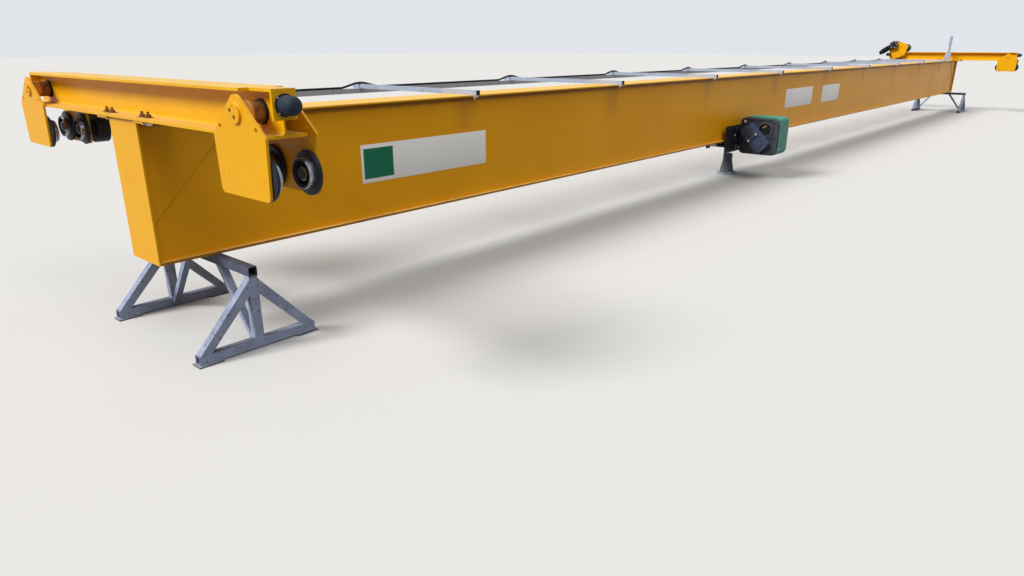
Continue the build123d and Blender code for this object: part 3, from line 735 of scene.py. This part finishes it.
# Keeper screws, a black disc as painted shade in a hole of the keeper, and the holes in a side plate, from
# the truck's pin
SCREW_SPOTS = ((-0.026, 0.012), (0.001, -0.014))
SCREW_RIM_R = 0.0094
SCREW_HEAD_R = 0.0072
SCREW_TOP_R = 0.006
SCREW_HEIGHT = 0.0016
SOCKET_SHADE_R = 0.0036
KEEPER_HOLE_SHADE_SPOT = (-0.006, 0.031)
KEEPER_HOLE_SHADE_R = 0.0032
HOLE_X = 0.139
HOLE_Y = -0.056


def truck_wheel(end, side, hand, wheel_x, node):
    """A wheel with a dark cast body, a bright worn tread and its bearing's ring."""
    base = at(truck_matrix(end, side), wheel_x, -WHEEL_DROP, hand * (TRUCK_HALF_GAP - WHEEL_GAP), -hand)
    bm = bmesh.new()
    turned(bm, base, WHEEL_RIM, 64, 0)
    turned(bm, base, WHEEL_TREAD, 64, 1)
    turned(bm, base, WHEEL_DISH, 64, 0)
    turned(bm, base, BEARING_RING, 48, 1)
    turned(bm, base, WHEEL_BORE, 48, 0)
    piece = keep(node + "_casting", bm, node, [WHEEL_IRON, WORN_TREAD], 30)
    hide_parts(node)


def truck_details(end, side):
    """Screws, collars, welds, axle caps and the wheels' looks on one truck."""
    body = "truck_%s_%s" % (end, side)
    matrix = truck_matrix(end, side)
    outer = TRUCK_HALF_GAP + PLATE_T
    screws = bmesh.new()
    collars = bmesh.new()
    welds = bmesh.new()
    for hand in (-1, 1):
        for screw_x, screw_y in SCREW_SPOTS:
            spot = at(matrix, screw_x, screw_y, hand * (outer + KEEPER_T), hand)
            rod(screws, spot, SCREW_RIM_R, 0.0006, 28)
            rod(screws, spot, SCREW_HEAD_R, SCREW_HEIGHT, 20, tip=SCREW_TOP_R)
            # A black hex disc on each head: painted shade of the screw's socket
            rod(screws, spot @ Matrix.Translation((0, 0, SCREW_HEIGHT)), SOCKET_SHADE_R, 0.0002, 6, index=1)
        # A black disc on the keeper's face: painted shade of a small hole
        pin = at(matrix, *KEEPER_HOLE_SHADE_SPOT, hand * (outer + KEEPER_T), hand)
        rod(screws, pin, KEEPER_HOLE_SHADE_R, 0.0004, 16, index=1)
        for hole_x in (-HOLE_X, HOLE_X):
            turned(welds, at(matrix, hole_x, HOLE_Y, hand * outer, hand), HOLE_RIM, 32)
        turned(collars, at(matrix, 0, 0, hand * TRUCK_HALF_GAP, -hand), PIN_COLLAR, 48)
        for wheel_x in (-WHEEL_X, WHEEL_X):
            boss = at(matrix, wheel_x, -WHEEL_DROP, hand * outer, hand)
            turned(welds, boss, AXLE_WELD, 40)
            rod(welds, boss, AXLE_END_R, 0.0006, 40)
        turned(welds, at(matrix, 0, 0, hand * outer, hand), PIN_WELD, 48)
    keep(body + "_keeper_screws", screws, body, [RUSTY_PAINT, CAP_PLASTIC], 30)
    keep(body + "_collars", collars, body, [WORN_ORANGE], 30)
    keep(body + "_axle_welds", welds, body, [YELLOW_PAINT], 50)
    for face, hand in (("a", -1), ("b", 1)):
        for number, wheel_x in ((1, WHEEL_X), (2, -WHEEL_X)):
            truck_wheel(end, side, hand, wheel_x, "%s_wheel_%s%d" % (body, face, number))
            caps = bmesh.new()
            spot = at(matrix, wheel_x, -WHEEL_DROP, hand * (TRUCK_HALF_GAP - CAP_DEPTH), -hand)
            turned(caps, spot, AXLE_CAP, 40)
            keep("%s_axle_cap_%s%d" % (body, face, number), caps, body, [WHEEL_IRON], 30)


for end_name in ENDS:
    for side_name in SIDES:
        truck_details(end_name, side_name)


# Drives: finned motor with its fan cowl, and the bolts of the gearbox
MOTOR_LEAN = 128
MOTOR_START = 0.126
MOTOR_BODY = [
    (0.0, 0.0), (0.063, 0.0), (0.064, 0.002), (0.064, 0.014), (0.054, 0.017), (0.054, 0.172),
    (0.062, 0.174), (0.063, 0.178), (0.063, 0.19),
]
FAN_COWL = [
    (0.063, 0.19), (0.0475, 0.1945), (0.0488, 0.2), (0.0488, 0.238), (0.046, 0.248), (0.038, 0.252),
    (0.0, 0.252),
]
COWL_RINGS = (0.014, 0.024, 0.034)
FIN_COUNT = 26
FIN_SIZE = (0.011, 0.0028, 0.156)
FIN_SPOT = (0.0575, 0, 0.0945)
GEARBOX_HALF = 0.039
GEARBOX_BOLTS = 6
GEARBOX_BOLT_CIRCLE = 0.072
GEARBOX_BOLT_TURN = 0.3


def drive_details(end):
    """The drive on an end's rear truck."""
    side = "rear"
    body = "truck_%s_%s" % (end, side)
    matrix = truck_matrix(end, side)
    hand = -ENDS[end] * SIDES[side]
    aim = math.radians(MOTOR_LEAN)
    root = matrix @ Vector((-WHEEL_X, -WHEEL_DROP, hand * DRIVE_OFFSET))
    along = (matrix.to_3x3() @ Vector((math.cos(aim), math.sin(aim), 0))).normalized()
    shell = stand_on(root + along * MOTOR_START, along, (1, 0, 0))
    bm = bmesh.new()
    turned(bm, shell, MOTOR_BODY, 48)
    turned(bm, shell, FAN_COWL, 48, 1)
    for step in range(FIN_COUNT):
        turn = Matrix.Rotation(math.tau * step / FIN_COUNT, 4, "Z")
        block(bm, shell @ turn @ Matrix.Translation(FIN_SPOT), FIN_SIZE)
    for ring in COWL_RINGS:
        holes = shell @ Matrix.Translation((0, 0, 0.2516))
        outline = [(ring, 0.0), (ring + 0.001, 0.0008), (ring + 0.004, 0.0008), (ring + 0.005, 0.0)]
        turned(bm, holes, outline, 32, 1)
    motor = keep(end + "_motor_shell", bm, body, [BLACK_PAINT, CAP_PLASTIC], 30)
    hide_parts(end + "_drive_motor")
    face = at(matrix, -WHEEL_X, -WHEEL_DROP, hand * (DRIVE_OFFSET + GEARBOX_HALF), hand)
    heads = bmesh.new()
    for step in range(GEARBOX_BOLTS):
        a = math.tau * step / GEARBOX_BOLTS + GEARBOX_BOLT_TURN
        across = (GEARBOX_BOLT_CIRCLE * math.cos(a), GEARBOX_BOLT_CIRCLE * math.sin(a), 0)
        bolt(heads, face @ Matrix.Translation(across), 0.011, 0.0045, 0.001)
    keep(end + "_gearbox_bolts", heads, body, [ZINC], 30)


for end_name in ENDS:
    drive_details(end_name)


# End carriages: bolts through the pads, black rings at the bosses, buffer screws and welds
PAD_BOLT_STEP = 0.05
PAD_BOLT_YS = (-0.255, -0.185, 0.185, 0.255)
PAD_BOLT_ACROSS = 0.024
PAD_WASHER_T = 0.0025
PAD_HALF = 0.094
SLEEVE_START = 0.064
BOSS_SLEEVE = [(0.045, 0.0), (0.0466, 0.0008), (0.0466, 0.0282), (0.045, 0.0292)]
BLACK_RING_START = 0.004
BOSS_BLACK_RING = [
    (0.0452, 0.0), (0.051, 0.0), (0.0515, 0.001), (0.0515, 0.0105), (0.0505, 0.0115), (0.0452, 0.0118),
]
BUFFER_SCREW_CIRCLE = 0.0425
BUFFER_SCREW_LIFT = 0.006
HEAD_WELD_IN = 0.0135
HEAD_WELD_FROM = 0.0228
HEAD_WELD_TO = 0.052


def carriage_details(end):
    """Small parts of one end carriage."""
    beam_x = ENDS[end] * BEAM_X
    bolts = bmesh.new()
    nuts = bmesh.new()
    for x_step in (-PAD_BOLT_STEP, PAD_BOLT_STEP):
        for y in PAD_BOLT_YS:
            x = beam_x + x_step
            over = stand_on((x, y, GIRDER_TOP + BEAM_FLANGE), (0, 0, 1))
            under = stand_on((x, y, GIRDER_TOP - PAD_T), (0, 0, -1))
            bolt(nuts, over, PAD_BOLT_ACROSS, 0.014, PAD_WASHER_T, 0.014)
            bolt(bolts, under, PAD_BOLT_ACROSS, 0.012, PAD_WASHER_T)
    keep(end + "_carriage_bolts", bolts, "frame", [ZINC], 30)
    keep(end + "_carriage_nuts", nuts, "frame", [RUSTY_PAINT], 30)
    rings = bmesh.new()
    sleeves = bmesh.new()
    cups = bmesh.new()
    welds = bmesh.new()
    for side in SIDES.values():
        for hand in (-1, 1):
            worn = stand_on((beam_x + hand * SLEEVE_START, side * PIN_Y, PIN_Z), (hand, 0, 0))
            turned(sleeves, worn, BOSS_SLEEVE, 48)
            # A black ring round each boss at the carriage beam
            spot = stand_on((beam_x + hand * BLACK_RING_START, side * PIN_Y, PIN_Z), (hand, 0, 0))
            turned(rings, spot, BOSS_BLACK_RING, 48)
        foot = stand_on((beam_x, side * HEAD_Y, BUFFER_Z), (0, side, 0))
        for turn in range(4):
            a = math.radians(45 + 90 * turn)
            across = (BUFFER_SCREW_CIRCLE * math.cos(a), BUFFER_SCREW_CIRCLE * math.sin(a), BUFFER_SCREW_LIFT)
            rod(cups, foot @ Matrix.Translation(across), 0.0035, 0.0024, 16, tip=0.003)
        weld_y = side * (HEAD_Y - HEAD_WELD_IN)
        for z in (GIRDER_TOP + BEAM_FLANGE, BEAM_TOP - BEAM_FLANGE):
            for hand in (-1, 1):
                inner = (beam_x + hand * HEAD_WELD_FROM, weld_y, z)
                outer = (beam_x + hand * HEAD_WELD_TO, weld_y, z)
                bead(welds, inner, outer, 0.0028, 0.006)
    keep(end + "_boss_black_rings", rings, "frame", [BLACK_PAINT], 30)
    keep(end + "_boss_sleeves", sleeves, "frame", [WORN_ORANGE], 30)
    keep(end + "_buffer_screws", cups, "frame", [ZINC], 30)
    for side in SIDES.values():
        edge_y = side * (GIRDER_HALF_WIDTH + 0.0008)
        edge_z = GIRDER_TOP - 0.0125
        bead(welds, (beam_x - PAD_HALF, edge_y, edge_z), (beam_x + PAD_HALF, edge_y, edge_z), 0.003, 0.007)
    keep(end + "_carriage_welds", welds, "frame", [CARRIAGE_PAINT], 60)


for end_name in ENDS:
    carriage_details(end_name)


# Girder: long fillet welds and the doublers' welds
DOUBLER_LEG = 0.54


def girder_details():
    """Weld beads along the flanges, down the end plates and on the doublers' slanted edges."""
    welds = bmesh.new()
    far = GIRDER_END - 0.0125
    for side in SIDES.values():
        y = side * (WEB_FACE + 0.0015)
        for z in (GIRDER_UNDER + 0.0165, GIRDER_TOP - 0.0115):
            bead(welds, (-far, y, z), (far, y, z), 0.0042, 0.04)
        for end in ENDS.values():
            x = end * (GIRDER_END - 0.013)
            bead(welds, (x, y, GIRDER_UNDER + 0.02), (x, y, GIRDER_TOP - 0.012), 0.0036, 0.01)
            slant_y = y + side * 0.001
            low = (end * (GIRDER_END - 0.0135), slant_y, GIRDER_TOP - 0.01 - DOUBLER_LEG)
            high = (end * (GIRDER_END - 0.012 - DOUBLER_LEG), slant_y, GIRDER_TOP - 0.0115)
            bead(welds, low, high, 0.0034, 0.01)
    keep("girder_welds", welds, "frame", [WEB_PAINT_WITH_SHADE], 70)


# Trestles: flat plates under the skids
FOOT_PLATE = (0.136, 0.082, 0.0074)
FOOT_PLATE_Z = 0.0041
FOOT_IN_X = 0.056
FOOT_IN_Y = 0.026


def trestle_details():
    """Flat plates under both ends of each skid, a little wider than the skid."""
    plates = bmesh.new()
    for end in ENDS:
        low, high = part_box(end + "_trestle_frames")
        for x in (low.x + FOOT_IN_X, high.x - FOOT_IN_X):
            for y in (low.y + FOOT_IN_Y, high.y - FOOT_IN_Y):
                block(plates, Matrix.Translation((x, y, FOOT_PLATE_Z)), FOOT_PLATE, 0.001)
    keep("trestle_foot_edges", plates, "frame", [PAD_STEEL], 30)


# Plain sign plates on the front web
SIGN_T = 0.0012
SIGN_FIELD_T = 0.0005
SIGN_FIELD_OUT = 0.0014


def sign(name, x, z, width, height, fields):
    """A thin white plate, with plain green fields on it: each its place, width and height."""
    bm = bmesh.new()
    plate = Matrix.Translation((x, -WEB_FACE - SIGN_T / 2, z))
    block(bm, plate, (width, SIGN_T, height), 0.0003)
    for field_x, field_z, field_width, field_height in fields:
        field = Matrix.Translation((x + field_x, -WEB_FACE - SIGN_FIELD_OUT, z + field_z))
        block(bm, field, (field_width, SIGN_FIELD_T, field_height), 0.0, 1)
    keep(name, bm, "frame", [SIGN_WHITE, SIGN_GREEN], 30)


girder_details()
trestle_details()
sign("sign_plate_near", -8.01, 0.8415, 1.2, 0.253, [(-0.455, 0, 0.25, 0.2)])
sign("sign_plate_middle", -0.71, 0.882, 1.06, 0.256, [])
sign("sign_plate_far", 0.655, 0.878, 0.81, 0.256, [])


# Cable arms: clamp bolts, and cable ties at the rear ends
CABLE_TIE = [(0.0094, -0.006), (0.0112, -0.006), (0.0112, 0.006), (0.0094, 0.006)]
CABLE_LIFT = 0.0093


def arm_details():
    """Bolts and cable ties of the cable arms."""
    bolts = bmesh.new()
    ties = bmesh.new()
    for x in ARM_XS:
        clamp = stand_on((x, -GIRDER_HALF_WIDTH + 0.006, GIRDER_TOP - 0.0155), (0, 0, -1))
        bolt(bolts, clamp, 0.016, 0.01, 0.002, 0.008)
        over = Matrix.Translation((x, TRACK_Y, ARM_TOP + CABLE_LIFT))
        turned(ties, over @ Matrix.Rotation(math.pi / 2, 4, "Y"), CABLE_TIE, 24)
    keep("arm_clamp_bolts", bolts, "frame", [ZINC], 30)
    keep("cable_ties", ties, "frame", [CAP_PLASTIC], 30)


arm_details()


# Trolley: nuts, studs and worn sleeves of the tie bars
TIE_BAR_R = 0.025
TIE_NUT_R = 0.029
TIE_WASHER_R = 0.034
TIE_END_R = 0.018
TIE_SLEEVE = [
    (TIE_BAR_R, 0.0), (TIE_BAR_R + 0.001, 0.001), (TIE_BAR_R + 0.001, 0.12), (TIE_BAR_R, 0.121),
]
AXLE_BOLT_SHIFT = 0.042


def trolley_details():
    """Small parts of the trolley's plates and tie bars."""
    body = "trolley"
    low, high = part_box("trolley_tie_bars")
    bar_z = low.z + TIE_NUT_R * math.cos(math.pi / 6)
    face_y = PLATE_Y + TROLLEY_PLATE_T
    nuts = bmesh.new()
    sleeves = bmesh.new()
    for x in (low.x + TIE_NUT_R, high.x - TIE_NUT_R):
        for hand in (-1, 1):
            reach = -low.y if hand < 0 else high.y
            rod(nuts, stand_on((x, hand * face_y, bar_z), (0, hand, 0)), TIE_WASHER_R, 0.003, 32)
            bar_end = stand_on((x, hand * (reach - 0.0005), bar_z), (0, hand, 0))
            rod(nuts, bar_end, TIE_END_R, 0.003, 24, tip=0.0165)
            turned(sleeves, stand_on((x, hand * PLATE_Y, bar_z), (0, -hand, 0)), TIE_SLEEVE, 40)
    wheel_low, wheel_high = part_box("trolley_wheels")
    wheel_r = (wheel_high.z - wheel_low.z) / 2
    for x in (wheel_low.x + wheel_r, wheel_high.x - wheel_r):
        for hand in (-1, 1):
            spot = stand_on((x + AXLE_BOLT_SHIFT, hand * face_y, wheel_low.z + wheel_r), (0, hand, 0))
            bolt(nuts, spot, 0.02, 0.01, 0.002)
    keep("trolley_nuts", nuts, body, [ZINC], 30)
    keep("trolley_tie_sleeves", sleeves, body, [WORN_TREAD], 30)


# Hoist: bolts from the middle of the end casting, across and up
CORNER_BOLTS = ((-0.19, -0.183), (-0.19, 0.183), (0.19, -0.183))
RIM_BOLTS = ((0.0, 0.206), (0.0, -0.206), (0.214, 0.0), (-0.214, 0.0))
BRIGHT_CORNER_BOLT = (0.172, 0.172)

# Bolts from the middle of the slanted gear case, along its length and across it
GEAR_CASE_SLANT = 45
GEAR_CASE_OFF = 0.022
BRIGHT_CASE_BOLTS = ((-0.018, -0.06), (-0.018, 0.06))
GEARHEAD_BOLTS = ((-0.162, -0.06), (-0.162, 0.06), (-0.09, -0.064), (-0.09, 0.064))
CASE_EDGE_BOLTS = ((0.155, -0.075), (0.155, 0.075), (0.03, -0.082), (0.03, 0.082))
CASE_EDGE_DEPTH = 0.024
LID_ALONG = -0.09
LID_SIZE = (0.0024, 0.112, 0.104)

# Windings in the casting's port, and screws on the cover
PORT_DEPTH = 0.0395
PORT_OFF = 0.084
WINDING_COUNT = 9
BRASS_WINDINGS = (1, 2)
WINDING_CIRCLE = 0.042
WINDING = [(0.0, 0.016), (0.007, 0.015), (0.0115, 0.011), (0.013, 0.0)]
PORT_HUB_R = 0.022
COVER_MIDDLE = 0.035
COVER_FACE = 0.234
COVER_SCREW_XS = (-0.12, 0.13)
COVER_SCREW_ZS = (-0.15, 0.15)


def hoist_details():
    """Bolts, gearhead lid, port windings and cover screws of the hoist."""
    body = "trolley"
    away = (-1, 0, 0)
    dark = bmesh.new()
    for y, z in CORNER_BOLTS:
        bolt(dark, stand_on((CASTING_X, HOIST_Y + y, HOIST_Z + z), away), 0.019, 0.011, 0.002)
    for y, z in RIM_BOLTS:
        bolt(dark, stand_on((CASTING_X, HOIST_Y + y, HOIST_Z + z), away), 0.013, 0.007, 0.0015)
    bright = bmesh.new()
    y, z = BRIGHT_CORNER_BOLT
    bolt(bright, stand_on((CASTING_X, HOIST_Y + y, HOIST_Z + z), away), 0.019, 0.011, 0.002)
    tilt = math.radians(GEAR_CASE_SLANT)
    slant = Vector((0, -math.cos(tilt), -math.sin(tilt)))
    side = Vector((0, slant.z, -slant.y))
    case_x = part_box("hoist_gear_case")[0].x
    case_middle = Vector((case_x, HOIST_Y + GEAR_CASE_OFF, HOIST_Z - GEAR_CASE_OFF))
    for u, v in BRIGHT_CASE_BOLTS:
        bolt(bright, stand_on(case_middle + slant * u + side * v, away), 0.014, 0.007, 0.001)
    for u, v in GEARHEAD_BOLTS:
        bolt(dark, stand_on(case_middle + slant * u + side * v, away), 0.013, 0.007, 0.001)
    for u, v in CASE_EDGE_BOLTS:
        spot = case_middle + slant * u + side * v + Vector((CASE_EDGE_DEPTH, 0, 0))
        bolt(dark, stand_on(spot, away), 0.013, 0.008, 0.0015)
    keep("hoist_bolts", bright, body, [ZINC], 30)
    keep("hoist_dark_bolts", dark, body, [HOIST_PAINT], 30)
    lid = bmesh.new()
    lid_middle = case_middle + slant * LID_ALONG - Vector((LID_SIZE[0] / 2, 0, 0))
    block(lid, Matrix.Translation(lid_middle) @ Matrix.Rotation(tilt, 4, "X"), LID_SIZE, 0.001)
    keep("hoist_gearhead_lid", lid, body, [HOIST_PAINT], 30)
    port = Vector((CASTING_X + PORT_DEPTH, HOIST_Y - PORT_OFF, HOIST_Z + PORT_OFF))
    wires = bmesh.new()
    for step in range(WINDING_COUNT):
        a = math.tau * step / WINDING_COUNT
        spot = port + Vector((0, WINDING_CIRCLE * math.cos(a), WINDING_CIRCLE * math.sin(a)))
        turned(wires, stand_on(spot, away), WINDING, 16, 0 if step in BRASS_WINDINGS else 1)
    rod(wires, stand_on(port, away), PORT_HUB_R, 0.02, 32, tip=0.018, index=1)
    keep("hoist_port_windings", wires, body, [PORT_BRASS, BLACK_PAINT], 35)
    trim = bmesh.new()
    for z in COVER_SCREW_ZS:
        for x in COVER_SCREW_XS:
            spot = (TROLLEY_X + COVER_MIDDLE + x, HOIST_Y - COVER_FACE, HOIST_Z + z)
            rod(trim, stand_on(spot, (0, -1, 0)), 0.008, 0.0028, 20, tip=0.0066)
    keep("hoist_cover_screws", trim, body, [ZINC], 30)


# Chain and chain block
LINK_PITCH = 0.024
LINK_LENGTH = 0.0315
LINK_WIDTH = 0.0138
LINK_WIRE_R = 0.0034
LINK_SIDES = 10
LINK_BEND_STEPS = 10
LINK_MERGE_UNDER = 1e-5
FALL_Y = 0.023
BLOCK_BOLTS = 4
BLOCK_BOLT_CIRCLE = 0.105
BLOCK_BOLT_Z = 0.0265
BLOCK_BOLT_LEAN = 0.2
BLOCK_RIM = [(0.1242, 0.003), (0.1256, 0.0042), (0.1256, 0.0197), (0.1195, 0.0229), (0.1182, 0.0223)]


def chain_link(bm, matrix, length, width, wire_r):
    """One link: two half turns joined by straight runs, upright along the matrix's Z."""
    half = length / 2 - width / 2
    ring = bmesh.ops.create_circle(bm, segments=LINK_SIDES, radius=wire_r, cap_ends=False)["verts"]
    bmesh.ops.translate(bm, vec=(width / 2 - wire_r, 0, 0), verts=ring)
    made = list(ring)
    edges = edges_on(ring)
    for turn_at in (half, -half):
        fresh, edges = verts_and_edges(bmesh.ops.extrude_edge_only(bm, edges=edges)["geom"])
        edges = [edge for edge in edges if all(vert in fresh for vert in edge.verts)]
        start = sum((vert.co.z for vert in fresh), 0.0) / len(fresh)
        bmesh.ops.translate(bm, vec=(0, 0, turn_at - start), verts=fresh)
        made += fresh
        bend = bmesh.ops.spin(
            bm, geom=edges + fresh, cent=(0, 0, turn_at), axis=(0, -1, 0), angle=math.pi,
            steps=LINK_BEND_STEPS, use_merge=False,
        )
        fresh, edges = verts_and_edges(bend["geom_last"])
        made += fresh
    grown = joined_to(made)
    bmesh.ops.remove_doubles(bm, verts=list(grown), dist=LINK_MERGE_UNDER)
    place(bm, [vert for vert in grown if vert.is_valid], matrix)


def block_details():
    """The chain's links, and the bolts and light galvanised foot rim of the chain block."""
    body = "chain_block"
    chains = bmesh.new()
    low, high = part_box("load_chain")
    count = int((high.z - low.z + 0.004) / LINK_PITCH)
    for y in (-FALL_Y, FALL_Y):
        for step in range(count):
            z = low.z + 0.011 + step * LINK_PITCH
            turn = Matrix.Rotation(math.pi / 2 * (step % 2), 4, "Z")
            spot = Matrix.Translation((TROLLEY_X, y, z)) @ turn
            chain_link(chains, spot, LINK_LENGTH, LINK_WIDTH, LINK_WIRE_R)
    piece = keep("load_chain_links", chains, body, [WORN_TREAD], 40)
    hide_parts("load_chain")
    bolts = bmesh.new()
    for step in range(BLOCK_BOLTS):
        a = math.tau * (step + 0.5) / BLOCK_BOLTS
        out = Vector((math.cos(a), math.sin(a), 0))
        foot = Vector((TROLLEY_X, 0, BLOCK_BOLT_Z)) + out * BLOCK_BOLT_CIRCLE
        lean = out * BLOCK_BOLT_LEAN + Vector((0, 0, 1))
        bolt(bolts, stand_on(foot, lean), 0.014, 0.008, 0.0015)
    keep("block_bolts", bolts, body, [ZINC], 30)
    # A lighter galvanised ring round the foot of the chain block
    rim = bmesh.new()
    turned(rim, Matrix.Translation((TROLLEY_X, 0, 0)), BLOCK_RIM, 64)
    keep("block_light_foot_rim", rim, body, [GALVANISED], 30)


trolley_details()
hoist_details()
block_details()


# Floor, light and camera
SENSOR_WIDTH = 36
FOCAL_LENGTH = 24.76
CAMERA_AT = (-11.477, -3.943, 1.587)
CAMERA_PITCH = 71.01
CAMERA_HEADING = -48.97
FLOOR_SIZE = 120
FLOOR_SHOWN = rgb(218, 216, 212)
FLOOR_BOUNCE = rgb(122, 120, 116)
BACK_COLOUR = rgb(236, 240, 246)
BACK_SHOWN = 0.9
GLOW_BY_HEIGHT = (0.0, 0.9, 0.14, 0.48)
SUNS = (
    ("soft key", 3.1, 22, (0.72, -0.28, -0.62)),
    ("soft top", 0.9, 40, (0.15, 0.55, -0.82)),
)


def seen_rays(tree):
    """1 for camera, glossy and transmission rays, and 0 for the others."""
    path = put(tree, "ShaderNodeLightPath").outputs
    seen = calc(tree, "MAXIMUM", path["Is Camera Ray"], path["Is Glossy Ray"])
    return calc(tree, "MAXIMUM", seen, path["Is Transmission Ray"])


def studio():
    """Pale floor, two soft suns, a plain background and the photograph's camera."""
    bm = bmesh.new()
    bmesh.ops.create_grid(bm, x_segments=1, y_segments=1, size=FLOOR_SIZE)
    mesh = bpy.data.meshes.new("studio_floor")
    bm.to_mesh(mesh)
    bm.free()
    floor = bpy.data.objects.new("studio_floor", mesh)
    bpy.context.scene.collection.objects.link(floor)
    material, tree, shader = surface("pale floor", specular=0.1)
    shade = blend_colours(tree, seen_rays(tree), FLOOR_BOUNCE, FLOOR_SHOWN)
    wire(tree, shade, shader.inputs["Base Color"])
    shader.inputs["Roughness"].default_value = 0.85
    mesh.materials.append(material)

    for name, energy, spread, aim in SUNS:
        sun = bpy.data.lights.new(name, "SUN")
        sun.energy = energy
        sun.angle = math.radians(spread)
        lamp = bpy.data.objects.new(name, sun)
        lamp.rotation_euler = Vector(aim).to_track_quat("-Z", "Y").to_euler()
        bpy.context.scene.collection.objects.link(lamp)

    world = bpy.data.worlds.new("studio")
    world.use_nodes = True
    bpy.context.scene.world = world
    tree = world.node_tree
    back = tree.nodes["Background"]
    back.inputs["Color"].default_value = BACK_COLOUR
    way = put(tree, "ShaderNodeSeparateXYZ")
    wire(tree, put(tree, "ShaderNodeTexCoord").outputs["Generated"], way.inputs[0])
    glow = span(tree, way.outputs[2], *GLOW_BY_HEIGHT)
    shown = calc(tree, "MULTIPLY", seen_rays(tree), BACK_SHOWN)
    wire(tree, calc(tree, "MAXIMUM", shown, glow), back.inputs["Strength"])

    lens = bpy.data.cameras.new("photo camera")
    lens.sensor_width = SENSOR_WIDTH
    lens.lens = FOCAL_LENGTH
    lens.clip_end = 400
    camera = bpy.data.objects.new("photo camera", lens)
    camera.location = CAMERA_AT
    camera.rotation_euler = (math.radians(CAMERA_PITCH), 0, math.radians(CAMERA_HEADING))
    bpy.context.scene.collection.objects.link(camera)
    bpy.context.scene.camera = camera
    bpy.context.scene.view_settings.view_transform = "Standard"


studio()
